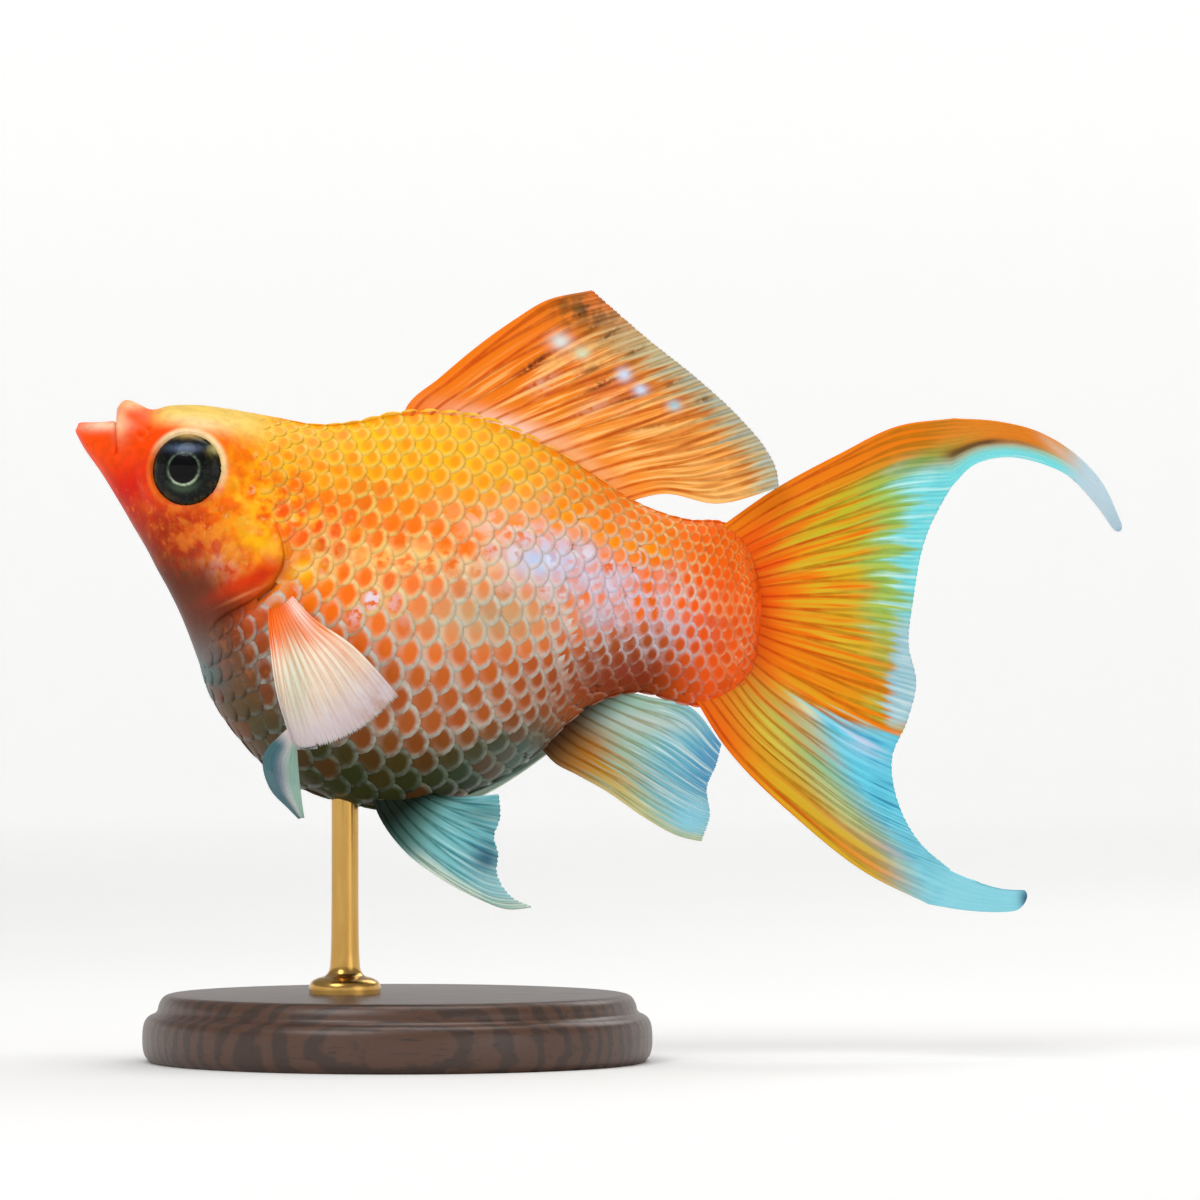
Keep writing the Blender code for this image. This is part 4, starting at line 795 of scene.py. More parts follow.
# The eyes: clear, wet balls that show a nearly black iris, a thin pale green ring and the pupil.
# Each sits in its ring of skin, square to the cheek, and the clear front bulges a little past it.
EYE_RADIUS, EYE_DEPTH, EYE_SINK, EYE_SWELL = 2.58, 1.60, 0.80, 0.10
EYE_ROWS, EYE_SPOKES = 63, 96
eye_finish = Finish("molly_eye")
wide_field = eye_finish.field("wide")
speckle = eye_finish.noise(4.0, 3.0)
flecks = eye_finish.noise(1.4, 2.0)
ring_share = (-(((wide_field - 1.07) * 11.0) ** 2.0)).exp() * (0.3 + 0.7 * speckle.step(0.35, 0.6))
z, patch = eye_finish.z, eye_finish.patch
eye_colour = eye_finish.wash(
    tint(7, 8, 7),
    ((26, 32, 22), speckle.step(0.45, 0.7) * wide_field.step(1.1, 1.5)),
    ((62, 50, 20), wide_field.step(1.7, 2.2) * flecks.step(0.45, 0.65) * 0.7),
    ((70, 92, 70), (-(((wide_field - 1.32) * 4.2) ** 2.0)).exp() * z.step(28.8, 27.8) * 0.8),
    ((150, 132, 60), patch((9.2, 31.0), (0.75, 0.40), -0.8) * flecks.step(0.35, 0.6) * 0.9),
    ((186, 186, 130), patch((9.55, 30.75), (0.35, 0.3), -0.8) * 0.7),
    ((206, 170, 96), patch((7.9, 31.75), (1.5, 0.26)) * flecks.step(0.30, 0.5) * 0.9),
    ((96, 112, 92), ring_share * z.step(27.8, 29.6) * 0.75),
    ((178, 196, 164), ring_share * z.step(29.4, 28.2)),
    ((2, 2, 4), wide_field.step(1.01, 0.93)),
    # A soft pale blue arc over the top of the pupil: a painted highlight.
    ((104, 124, 160), patch((7.55, 30.78), (1.05, 0.26)) * (0.5 + 0.5 * speckle) * 0.75),
)
eye_material = eye_finish.finish_with(
    base_color=eye_colour,
    roughness=0.25,
    specular_ior_level=0.05,
    coat_weight=0.4,
    coat_roughness=0.02,
    coat_ior=1.33,
    normal=eye_finish.bump(speckle * wide_field.step(1.0, 1.2), 0.15, 0.02),
)
for name, side in (("eye_left", -1), ("eye_right", 1)):
    axis = eye_axis(side)
    centre = skin_beside(EYE_X, EYE_Z, side)[0] - axis * EYE_SINK
    across = np.cross((0, 0, 1), axis)
    across /= np.linalg.norm(across)
    upward = np.cross(axis, across)
    down = np.linspace(0, math.pi, EYE_ROWS + 2)[1:-1]
    spin = np.arange(EYE_SPOKES) * 2 * math.pi / EYE_SPOKES
    wide = EYE_RADIUS * np.abs(np.sin(down)) ** 0.80
    deep = EYE_DEPTH * np.sign(np.cos(down)) * np.abs(np.cos(down)) ** 0.86
    # The clear front swells over the pupil.
    deep = deep + EYE_SWELL * np.exp(-((wide / 1.3) ** 2)) * (deep > 0)
    ring = np.cos(spin)[:, None] * across + np.sin(spin)[:, None] * upward
    rings = centre + wide[:, None, None] * ring + deep[:, None, None] * axis
    ends = [centre + (EYE_DEPTH + EYE_SWELL) * axis, centre - EYE_DEPTH * axis]
    around_eye = EYE_ROWS * EYE_SPOKES
    faces = ring_faces(EYE_ROWS, EYE_SPOKES, around_eye, around_eye + 1)
    outside = np.cross(rings[1, 0] - rings[0, 0], rings[0, 1] - rings[0, 0])
    if (outside * (rings[0, 0] - centre)).sum() < 0:
        faces = [tuple(reversed(face)) for face in faces]
    points = np.concatenate([rings.reshape(-1, 3), ends])
    fields = {"wide": [*np.repeat(wide, EYE_SPOKES), 0, 0]}
    eye = piece_from(f"{name}_ball", points, faces, fields, eye_material)
    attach(eye, "root")
    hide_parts(name)

# The dorsal fin: a sheet of clear skin stretched over fourteen soft rays, which fork towards the
# edge. It grows from a fleshy root along the back, and its rear edge trails free over the stalk.
MEMBRANE_HALF, RAY_RISE, RAY_FORK = 0.055, 0.085, 0.24
DORSAL_RAYS, DORSAL_FROM, DORSAL_TO, DORSAL_SUNK = 14, 9.15, 14.45, 1.0
DORSAL_TIP, DORSAL_END = (34.5, 41.4), (46.9, 28.2)


def curve_through(points):
    through = np.array(points, float)
    steps = np.linalg.norm(np.diff(through, axis=0), axis=1)
    knots = np.concatenate([[0.0], np.cumsum(steps)])
    slopes = np.gradient(through, knots, axis=0)

    def at(share):
        return hermite(through, slopes, knots, np.clip(np.asarray(share, float), 0, 1) * knots[-1])

    return at


def web(first_ray, last_ray, root, margin, hold=2.5):
    """A fin's side view as a function of u, from root to margin, and v, from first ray to last.

    The rays between run straight, and only those near the first and last ray bend with them. Each
    edge is given as a function or as points.
    """
    edges = (first_ray, last_ray, root, margin)
    first_ray, last_ray, root, margin = (e if callable(e) else curve_through(e) for e in edges)

    def at(u, v):
        low, high = root(v), margin(v)
        u, v = u[..., None], v[..., None]
        one = first_ray(u[..., 0]) - (1 - u) * first_ray(0.0) - u * first_ray(1.0)
        two = last_ray(u[..., 0]) - (1 - u) * last_ray(0.0) - u * last_ray(1.0)
        return (1 - u) * low + u * high + (1 - v) ** hold * one + v**hold * two

    return at


def fin_grid(rows, rays, per_ray):
    u = np.linspace(0, 1, rows + 1)[:, None]
    v = np.linspace(0, 1, per_ray * rays + 1)[None, :]
    return np.broadcast_arrays(u, v)


def ray_lines(u, v, rays):
    """1 along each ray, which splits in two and then in four on its way to the edge."""
    cell = (v * rays) % 1.0 - 0.5
    cell = np.where(v >= 1 - 1e-9, 0.5, cell)
    one = RAY_FORK * smooth_step(0.22, 0.85, u)
    two = RAY_FORK * 0.45 * smooth_step(0.55, 1.0, u)
    gap = np.full(u.shape, 9.0)
    for a in (-1, 1):
        for b in (-1, 1):
            gap = np.minimum(gap, np.abs(cell - a * one - b * two))
    width = 0.13 - 0.05 * u
    return np.exp(-((gap / width) ** 2))


def frayed(u, rays_here, depth):
    return u - depth * (1 - rays_here) * smooth_step(0.82, 1.0, u)


def fin_half(u, rays_here, root_half=0.32, tip=0.6):
    thin = 1 - (1 - tip) * smooth_step(0.6, 1.0, u)
    fleshy = np.exp(-((u / 0.09) ** 2))
    return (MEMBRANE_HALF + RAY_RISE * rays_here) * thin + (root_half - MEMBRANE_HALF) * fleshy


def fin_piece(name, flat, lean, fields, finish, half=None, cells=None):
    """A thin closed sheet on both sides of a grid of points.

    The points are in the side view, with how far each leans to the fish's right. The fields are the
    share of ray at each, how far it is from the root and from the first ray, and how clear it is.
    """
    fields = dict(zip(("ray", "reach", "spread", "clear"), fields))
    half = fin_half(fields["reach"], fields["ray"]) if half is None else half
    middle = np.stack([flat[..., 0], lean, flat[..., 1]], axis=-1)
    rows, columns = middle.shape[:2]
    cells = np.ones((rows - 1, columns - 1), bool) if cells is None else cells
    normal = np.cross(np.gradient(middle, axis=0), np.gradient(middle, axis=1))
    normal /= np.maximum(np.linalg.norm(normal, axis=2, keepdims=True), 1e-9)
    faced = np.concatenate([middle + normal * half[..., None], middle - normal * half[..., None]])
    size = rows * columns
    i, j = np.nonzero(cells)
    a = i * columns + j
    quads = np.stack([a, a + columns, a + columns + 1, a + 1], axis=-1)
    ends = np.concatenate([quads[:, [k, (k + 1) % 4]] for k in range(4)])
    key = np.sort(ends, axis=1) @ np.array([size, 1])
    _, first, times = np.unique(key, return_index=True, return_counts=True)
    rim = ends[first[times == 1]]
    walls = np.stack([rim[:, 1], rim[:, 0], rim[:, 0] + size, rim[:, 1] + size], axis=-1)
    faces = np.concatenate([quads, quads[:, ::-1] + size, walls])
    used, index = np.unique(faces, return_inverse=True)
    doubled = {field: np.tile(values.reshape(-1), 2)[used] for field, values in fields.items()}
    return piece_from(name, faced.reshape(-1, 3)[used], index.reshape(-1, 4).tolist(), doubled, finish)


def fin_finish(name, ground, washes, ray_shades, dots=(), glints=()):
    """Thin wet skin: washes of colour, shaded along the rays, with the rays' short joints as bump."""
    finish = Finish(name)
    rays_here, reach, spread = (finish.field(field) for field in ("ray", "reach", "spread"))
    mottle, streak = finish.noise(0.8, 3.0), finish.noise(3.0, 2.0)
    colour = finish.wash(ground, *washes(finish, finish.patch, reach, spread))
    shade = finish.mix(ray_shades[0], ray_shades[1], reach.step(0.35, 0.85))
    along_rays = rays_here.step(0.15, 0.85) * (0.55 + 0.45 * mottle.step(0.3, 0.6))
    along_rays = along_rays * (0.3 + 0.7 * reach.step(1.15, 0.92)) * reach.step(-0.06, 0.10)
    settings = {"data_type": "RGBA", "blend_type": "MULTIPLY"}
    shaded = finish.node("ShaderNodeMix", settings, {0: along_rays, 6: colour, 7: shade}, 2)
    for dark, middle, reach_mm, turn, strength in dots:
        share = finish.patch(middle, reach_mm, turn) * strength * streak.step(0.30, 0.55)
        shaded = finish.wash(shaded, (dark, share))
    for pale, middle, reach_mm in glints:
        shaded = finish.wash(shaded, (pale, finish.patch(middle, reach_mm)))
    joints = (reach * 260).sin().step(-0.2, 0.9) * rays_here
    return finish.wet_with(
        gloss=0.10,
        film=0.08,
        film_roughness=0.15,
        base_color=shaded,
        roughness=0.34 + 0.15 * streak,
        alpha=1.0 - finish.field("clear") * (1 - rays_here * 0.7),
        normal=finish.bump(joints * 0.5 + streak * 0.4 + rays_here * 0.6, 0.35, 0.05),
    )


def dorsal_root(v):
    numbers = DORSAL_FROM + (DORSAL_TO - DORSAL_FROM) * np.asarray(v)
    return slices_at(BODY_SLICES, numbers)[..., 0:2] - (0.0, DORSAL_SUNK)


dorsal = web(
    [dorsal_root(0.0), (22.1, 33.6), (24.3, 35.55), (27.4, 38.1), (29.4, 39.5), (31.3, 40.65), DORSAL_TIP],
    [dorsal_root(1.0), (39.3, 27.8), (42.7, 27.15), DORSAL_END],
    dorsal_root,
    [DORSAL_TIP, (38.45, 37.95), (41.5, 35.5), (44.5, 32.7), (46.0, 30.9), (46.75, 29.4), DORSAL_END],
    hold=5.0,
)
u, v = fin_grid(64, DORSAL_RAYS, 14)
rays_here = ray_lines(u, v, DORSAL_RAYS)
flat = dorsal(frayed(u, rays_here, 0.005), v)
lean = -0.9 * u**2 * v**2 - 0.9 * np.clip(v - 0.8, 0, 1) * 5 * u * (1 - 0.3 * u)
lean = lean + 0.22 * u * np.sin(v * 9.0 + 0.6) + 0.05 * u * np.sin(v * 2 * math.pi * DORSAL_RAYS)


def dorsal_washes(finish, patch, reach, spread):
    streaks = finish.noise(1.2, 2.0)
    lines = finish.streaks(46.0, 2.2)
    return (
        ((244, 122, 14), spread.step(0.50, 0.12) * 0.9),
        ((252, 182, 92), spread.step(0.35, 0.95) * reach.step(0.15, 0.5) * 0.8),
        ((254, 200, 120), lines.step(0.49, 0.60) * reach.step(0.08, 0.3) * spread.step(0.02, 0.22) * 0.85),
        ((176, 84, 24), lines.step(0.50, 0.38) * reach.step(0.18, 0.45) * spread.step(0.10, 0.35) * 0.5),
        ((236, 128, 70), patch((35.5, 35.5), (5.0, 1.6), -0.6) * streaks.step(0.4, 0.6) * 0.6),
        ((206, 150, 62), patch((35.6, 38.2), (3.4, 1.5), -0.7) * lines.step(0.62, 0.46) * 0.7),
        ((252, 216, 198), patch((28.6, 32.3), (3.4, 0.75), -0.27) * 0.95),
        ((252, 190, 140), patch((34.0, 29.9), (3.0, 0.5), -0.6) * 0.6),
        ((214, 206, 158), (reach + (lines - 0.5) * 0.5).step(0.80, 0.94) * spread.step(0.05, 0.3) * 0.9),
        ((176, 196, 196), (reach + (lines - 0.5) * 0.7).step(0.90, 1.02) * spread.step(0.25, 0.5) * 0.7),
        ((120, 84, 30), patch((34.0, 40.2), (2.6, 1.0), -0.2) * streaks.step(0.36, 0.58) * 0.9),
    )


dorsal_dots = (
    ((70, 28, 8), (30.4, 36.3), (1.2, 0.22), 0.55, 0.85),
    ((70, 28, 8), (31.1, 36.9), (0.9, 0.16), 0.55, 0.7),
    ((70, 28, 8), (35.1, 35.1), (1.0, 0.24), 0.45, 0.85),
    ((70, 28, 8), (34.4, 36.1), (0.8, 0.2), 0.45, 0.7),
    ((84, 46, 12), (33.5, 39.7), (1.0, 0.2), 0.75, 0.8),
    ((84, 46, 12), (34.6, 39.0), (0.7, 0.2), 0.7, 0.7),
    ((70, 34, 10), (35.6, 38.4), (0.9, 0.18), 0.6, 0.75),
    ((84, 50, 20), (37.3, 37.3), (0.7, 0.18), 0.5, 0.7),
    ((84, 50, 20), (39.9, 35.2), (0.6, 0.16), 0.4, 0.6),
    ((84, 50, 20), (41.9, 34.1), (0.6, 0.2), 0.3, 0.75),
    ((120, 44, 10), (37.0, 34.2), (1.4, 0.16), 0.3, 0.6),
    ((120, 44, 10), (39.0, 32.4), (1.6, 0.14), 0.2, 0.5),
    ((236, 190, 160), (31.3, 35.2), (1.0, 0.5), 0.5, 0.6),
    ((236, 180, 150), (34.6, 33.6), (1.3, 0.5), 0.4, 0.5),
)
dorsal_glints = (
    ((222, 230, 226), (32.35, 38.0), (0.66, 0.5)),
    ((216, 220, 184), (33.8, 37.2), (0.5, 0.4)),
    ((206, 222, 246), (36.6, 35.75), (0.46, 0.42)),
    ((206, 222, 246), (37.7, 34.75), (0.46, 0.36)),
    ((176, 214, 226), (39.95, 33.7), (0.46, 0.34)),
)
dorsal_shades = ((0.72, 0.42, 0.18, 1), (0.66, 0.52, 0.38, 1))
dorsal_material = fin_finish(
    "dorsal_skin", tint(248, 142, 34), dorsal_washes, dorsal_shades, dorsal_dots, dorsal_glints
)
fields = (rays_here, u, v, 0.28 * smooth_step(0.7, 1.0, u))
dorsal_fin = fin_piece("dorsal_web", flat, lean, fields, dorsal_material)
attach(dorsal_fin, "root")
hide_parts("dorsal_fin")

# The anal fin: a short fan of ten rays behind the vent, on the steep end of the belly. Its root is
# dark and fleshy, and its trailing edge is frayed and steel blue.
ANAL_RAYS, ANAL_FROM, ANAL_TO, ANAL_SUNK = 10, 13.6, 16.0, 0.07


def anal_root(v):
    row = slices_at(BODY_SLICES, ANAL_FROM + (ANAL_TO - ANAL_FROM) * np.asarray(v))
    return row[..., 2:4] + (row[..., 0:2] - row[..., 2:4]) * ANAL_SUNK


anal = web(
    [anal_root(0.0), (32.0, 9.85), (33.4, 9.1), (35.3, 8.05), (38.3, 6.0), (40.3, 4.95), (41.8, 4.6)],
    [anal_root(1.0), (38.2, 14.3), (41.0, 13.6), (43.1, 11.1)],
    anal_root,
    [(41.8, 4.6), (42.35, 6.3), (42.15, 8.2), (42.8, 9.8), (43.1, 11.1)],
)
u, v = fin_grid(48, ANAL_RAYS, 14)
rays_here = ray_lines(u, v, ANAL_RAYS)
flat = anal(frayed(u, rays_here, 0.010), v)
lean = 0.7 * u**2 * (1 - v) - 0.5 * u * v + 0.18 * u * np.sin(v * 8.0)


def anal_washes(finish, patch, reach, spread):
    lines = finish.streaks(34.0, 1.8)
    return (
        ((216, 196, 96), spread.step(0.45, 0.08) * reach.step(0.1, 0.35) * lines.step(0.36, 0.6)),
        ((134, 200, 216), (reach + (lines - 0.5) * 0.4).step(0.40, 0.70) * spread.step(0.06, 0.30)),
        ((78, 156, 200), (reach + (lines - 0.5) * 0.5).step(0.70, 0.96) * spread.step(0.30, 0.60) * 0.9),
        ((214, 236, 234), lines.step(0.51, 0.64) * reach.step(0.25, 0.5) * 0.85),
        ((160, 226, 242), patch((41.0, 5.9), (1.9, 1.6)) * 0.95),
        ((222, 210, 150), spread.step(0.10, 0.02) * reach.step(0.3, 0.6) * 0.7),
        ((204, 214, 206), patch((38.0, 12.6), (3.4, 0.8), -0.05) * 0.7),
        ((204, 150, 34), patch((34.8, 10.0), (3.2, 1.5), -0.5) * lines.step(0.34, 0.6)),
        ((190, 116, 22), reach.step(0.46, 0.22) * spread.step(0.7, 0.3) * 0.85),
        ((52, 24, 4), reach.step(0.30, 0.06) * 0.95),
    )


anal_shades = ((0.74, 0.62, 0.44, 1), (0.62, 0.82, 0.90, 1))
anal_material = fin_finish("anal_skin", tint(166, 208, 190), anal_washes, anal_shades)
fields = (rays_here, u, v, 0.30 * smooth_step(0.6, 1.0, u))
anal_fin = fin_piece("anal_web", flat, lean, fields, anal_material)
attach(anal_fin, "root")
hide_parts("anal_fin")

# The pelvic fins: a pair under the belly, each a soft fan with its first ray drawn out. The left one
# hangs spread and the right one lies folded back against the body.
PELVIC_RAYS = 7
hanging = (
    ((19.7, 7.9), (20.4, 6.2), (22.2, 3.9), (24.2, 2.4), (26.7, 1.05), (29.0, 0.25), (30.6, 0.4)),
    ((22.9, 8.1), (25.3, 7.7), (28.3, 7.9)),
    ((29.2, 1.05), (28.2, 2.6), (28.25, 4.1), (28.0, 4.9), (28.4, 6.4)),
)
folded = (
    ((20.6, 8.0), (23.6, 6.75), (27.0, 7.6), (29.4, 8.95), (31.5, 10.45)),
    ((22.6, 8.6), (25.6, 10.4), (29.2, 12.4)),
    ((31.0, 11.2), (30.2, 12.1)),
)


def pelvic_washes(finish, patch, reach, spread):
    lines = finish.streaks(30.0, 1.6)
    return (
        ((134, 208, 214), reach.step(0.25, 0.58) * 0.95),
        ((196, 236, 238), lines.step(0.52, 0.66) * reach.step(0.3, 0.6) * 0.75),
        ((58, 118, 132), lines.step(0.46, 0.34) * reach.step(0.4, 0.7) * spread.step(0.2, 0.4) * 0.7),
        ((190, 236, 238), reach.step(0.60, 0.95) * spread.step(0.6, 0.2)),
        ((226, 240, 222), spread.step(0.24, 0.05) * reach.step(0.28, 0.5)),
        ((40, 92, 120), patch((27.5, 3.6), (1.0, 0.9)) * 0.85),
        ((64, 110, 104), patch((27.4, 6.6), (2.2, 0.8)) * 0.6),
        ((36, 44, 24), spread.step(0.80, 0.97) * reach.step(0.8, 0.3) * 0.8),
        ((18, 24, 8), reach.step(0.48, 0.14) * 0.97),
    )


pelvic_material = fin_finish(
    "pelvic_skin", tint(112, 168, 160), pelvic_washes, ((0.40, 0.50, 0.46, 1), (0.52, 0.74, 0.80, 1))
)
for name, node, side, edges, pose in (
    ("pelvic_web_left", "pelvic_fin_left", -1, hanging, (1.5, 3.0, 0.4)),
    ("pelvic_web_right", "pelvic_fin_right", 1, folded, (1.9, 1.2, 4.9)),
):
    lead, trail, tips = edges
    fan = web(lead, trail, [lead[0], trail[0]], [lead[-1], *tips, trail[-1]])
    u, v = fin_grid(44, PELVIC_RAYS, 14)
    rays_here = ray_lines(u, v, PELVIC_RAYS)
    flat = fan(frayed(u, rays_here, 0.011), v)
    start, flare, lift = pose
    sideways = side * (start + flare * u + lift * v * np.clip(u * 2.5, 0, 1)) + 0.15 * u * np.sin(v * 7.0)
    fields = (rays_here, u, v, 0.22 * smooth_step(0.6, 1.0, u))
    pelvic = fin_piece(name, flat, sideways, fields, pelvic_material)
    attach(pelvic, "root")
    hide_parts(node)

# The pectoral fins: a clear fan beside each gill cover, on a short fleshy wrist, with its lowest rays
# drawn out into a soft twisted streamer. They stand away from the body as the fish hovers.
PECTORAL_RAYS, STREAMER_RAYS, PER_RAY, STREAMER_ROWS = 13, 4, 12, 26


def run_on(flat, beyond, streamer, unused):
    """A fin's grid with the rows of a streamer past its margin, and plain rows where it has none."""
    plain = flat[-1:] + (flat[-1:] - flat[-2:-1]) * beyond[..., None] * len(beyond)
    return np.concatenate([flat, np.where(unused[..., None], plain, streamer)])


fan_end = (15.15, 11.1)
pectoral = web(
    [(14.1, 21.75), (16.0, 19.7), (18.7, 17.8), (21.9, 14.4)],
    [(13.1, 20.7), (13.3, 18.0), (13.9, 14.2), (14.5, 12.3)],
    [(14.1, 21.75), (13.1, 20.7)],
    [(21.9, 14.4), (19.6, 12.4), (17.0, 11.2), fan_end, (14.5, 12.3)],
)
outer = curve_through([(14.5, 12.3), (12.95, 10.5), (13.45, 8.3), (14.55, 7.15), (15.3, 6.45)])
inner = curve_through([fan_end, (15.3, 9.3), (15.5, 7.6), (15.65, 6.5)])
u, v = fin_grid(52, PECTORAL_RAYS, PER_RAY)
first_out = PER_RAY * (PECTORAL_RAYS - STREAMER_RAYS)
ends = first_out / (PER_RAY * PECTORAL_RAYS)
rays_here = ray_lines(u, v, PECTORAL_RAYS)
flat = pectoral(frayed(u, rays_here, np.where(v > ends, 0.0, 0.022)), v)
beyond = np.linspace(0, 1, STREAMER_ROWS + 1)[1:, None]
across = np.clip((v[:1] - ends) / (1 - ends), 0, 1)
along, across = np.broadcast_arrays(beyond, across)
streamer = inner(along) * (1 - across[..., None]) + outer(along) * across[..., None]
flat = run_on(flat, beyond, streamer, v[:1] < ends - 1e-6)
reach = np.concatenate([u, 1 + along * 0.55])
spread = np.concatenate([v, np.broadcast_to(v[:1], along.shape)])
rays_here = np.concatenate([rays_here, ray_lines(1 + 0 * along, 0 * along + v[:1], PECTORAL_RAYS)])
rise = np.clip(reach / 0.22, 0, 1)
stand_off = 5.9 + 2.1 * rise**2 * (3 - 2 * rise) + 2.1 * reach - 0.5 * np.clip(reach - 1, 0, 1)
twist = 0.45 * np.concatenate([0 * u, np.sin(along * math.pi) * (across - 0.5)])
ripple = 0.16 * reach * np.sin(spread * 10.0)
half = fin_half(np.minimum(reach, 1.0), rays_here, root_half=0.36, tip=0.7)
half[len(u) :] *= np.linspace(1.0, 0.7, STREAMER_ROWS)[:, None]
cells = np.ones((len(flat) - 1, flat.shape[1] - 1), bool)
cells[len(u) - 1 :, :first_out] = False


def pectoral_washes(finish, patch, reach, spread):
    blots = finish.noise(1.1, 2.0)
    lines = finish.streaks(44.0, 1.6)
    return (
        ((252, 236, 214), (reach + (lines - 0.5) * 0.5).step(0.26, 0.48) * 0.95),
        ((255, 252, 246), lines.step(0.52, 0.66) * reach.step(0.2, 0.5) * reach.step(1.0, 0.8) * 0.9),
        ((214, 186, 170), lines.step(0.46, 0.34) * reach.step(0.3, 0.7) * 0.55),
        ((226, 214, 222), reach.step(0.66, 0.95) * 0.8),
        ((206, 160, 130), reach.step(0.80, 1.0) * spread.step(0.5, 0.1) * blots.step(0.4, 0.6) * 0.7),
        ((214, 222, 198), patch((15.0, 15.4), (0.9, 3.2), 0.05) * 0.7),
        ((255, 236, 228), patch((15.1, 20.2), (0.45, 2.0), 0.62) * 0.9),
        ((250, 150, 76), patch((17.2, 18.3), (0.4, 2.6), 0.75) * 0.5),
        ((74, 116, 120), reach.step(1.0, 1.10) * spread.step(0.78, 0.92)),
        ((150, 184, 168), reach.step(0.96, 1.06) * spread.step(0.88, 0.76)),
        ((70, 100, 124), patch((14.0, 9.2), (0.5, 1.8), 0.1) * reach.step(1.0, 1.1) * 0.6),
    )


pectoral_material = fin_finish(
    "pectoral_skin", tint(248, 122, 34), pectoral_washes, ((0.90, 0.62, 0.45, 1), (0.80, 0.74, 0.78, 1))
)
clear = 0.30 * smooth_step(0.4, 0.8, reach) + 0.25 * smooth_step(0.85, 1.0, reach) * (reach <= 1)
fields = (rays_here, reach, spread, clear)
for name, node, side, carried in (
    ("pectoral_web_left", "pectoral_fin_left", -1, (0, 0)),
    ("pectoral_web_right", "pectoral_fin_right", 1, (3.4, 6.0)),
):
    here = np.clip(reach - 1, 0, 1)[..., None] ** 2 * carried + flat
    sideways = side * (stand_off + twist + ripple)
    pectoral_fin = fin_piece(name, here, sideways, fields, pectoral_material, half, cells)
    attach(pectoral_fin, "root")
    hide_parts(node)

# The tail fin: one fan of forked rays from the end of the stalk, whose outermost rays run on past
# the rest as two long streamers. The upper one hooks over and down, and the lower one is blunt.
UPPER_SHARE, LOWER_SHARE = 0.16, 0.93
TAIL_RAYS, TAIL_PER_RAY, TAIL_ROWS, HOOK_ROWS = 25, 14, 78, 64
TAIL_UPPER_EDGE = ((43.0, 25.6), (46.6, 28.1), (51.0, 30.5), (54.9, 32.35), (58.6, 32.87))
TAIL_LOWER_EDGE = ((41.3, 14.2), (43.2, 11.15), (48.3, 6.0), (52.8, 2.5), (56.9, 0.47))
TAIL_ROOT_ABOVE = ((43.0, 25.6), (43.8, 24.6), (44.7, 22.4), (44.9, 20.0))
TAIL_ROOT = (*TAIL_ROOT_ABOVE, (44.6, 17.2), (43.4, 15.2), (41.3, 14.2))
TAIL_MARGIN_ABOVE = ((58.4, 28.2), (56.9, 25.3), (55.9, 20.7), (55.6, 17.7), (56.1, 15.3), (55.5, 12.7))
TAIL_MARGIN = (*TAIL_MARGIN_ABOVE, (54.5, 10.3), (54.9, 7.2), (56.3, 4.6), (58.3, 2.8))
UPPER_OUTER = ((58.6, 32.87), (61.6, 32.67), (64.3, 32.0), (66.4, 30.8), (68.3, 28.95), (70.0, 25.5))
UPPER_TURN = ((58.4, 28.2), (59.9, 29.7), (61.9, 30.25), (64.3, 29.9))
UPPER_INNER = (*UPPER_TURN, (66.1, 29.15), (67.95, 27.3), (69.45, 25.2))
LOWER_OUTER = ((56.9, 0.47), (59.3, 0.1), (61.6, 0.0), (63.0, 0.12))
LOWER_INNER = ((58.3, 2.8), (59.9, 2.1), (61.6, 1.6), (63.55, 1.48))


def tail_margin(v):
    v = np.asarray(v, float)
    high = np.clip(v / UPPER_SHARE, 0, 1)[..., None]
    low = np.clip((v - LOWER_SHARE) / (1 - LOWER_SHARE), 0, 1)[..., None]
    bay = curve_through(TAIL_MARGIN)(np.clip((v - UPPER_SHARE) / (LOWER_SHARE - UPPER_SHARE), 0, 1))
    first = np.array(TAIL_UPPER_EDGE[-1]) * (1 - high) + np.array(TAIL_MARGIN[0]) * high
    last = np.array(TAIL_MARGIN[-1]) * (1 - low) + np.array(TAIL_LOWER_EDGE[-1]) * low
    v = v[..., None]
    return np.where(v < UPPER_SHARE, first, np.where(v > LOWER_SHARE, last, bay))


def tail_sway(x, z):
    aft = np.clip((x - 45.0) / 24.0, 0, 1.2)
    return 2.6 * aft**1.6 * (z - 20.0) / 14.0 + 0.28 * aft * np.sin(z * 0.9 + x * 0.35)


fan = web(TAIL_UPPER_EDGE, TAIL_LOWER_EDGE, TAIL_ROOT, tail_margin)
u, v = fin_grid(TAIL_ROWS, TAIL_RAYS, TAIL_PER_RAY)
rays_here = ray_lines(u, v, TAIL_RAYS)
free = (v > UPPER_SHARE + 0.01) & (v < LOWER_SHARE - 0.01)
flat = fan(frayed(u, rays_here, np.where(free, 0.005, 0.0)), v)
hook = np.sin(np.linspace(0, math.pi / 2, HOOK_ROWS + 1))[1:, None]


def drawn_out(outer, inner, across, start):
    """A streamer's side view, drawn in to its middle where its end is rounded."""
    spare = np.clip((hook - start) / (1 - start), 0, 1)
    across = (0.5 + (across - 0.5) * np.sqrt(1 - 0.96 * spare**2.4))[..., None]
    return curve_through(outer)(hook) * (1 - across) + curve_through(inner)(hook) * across


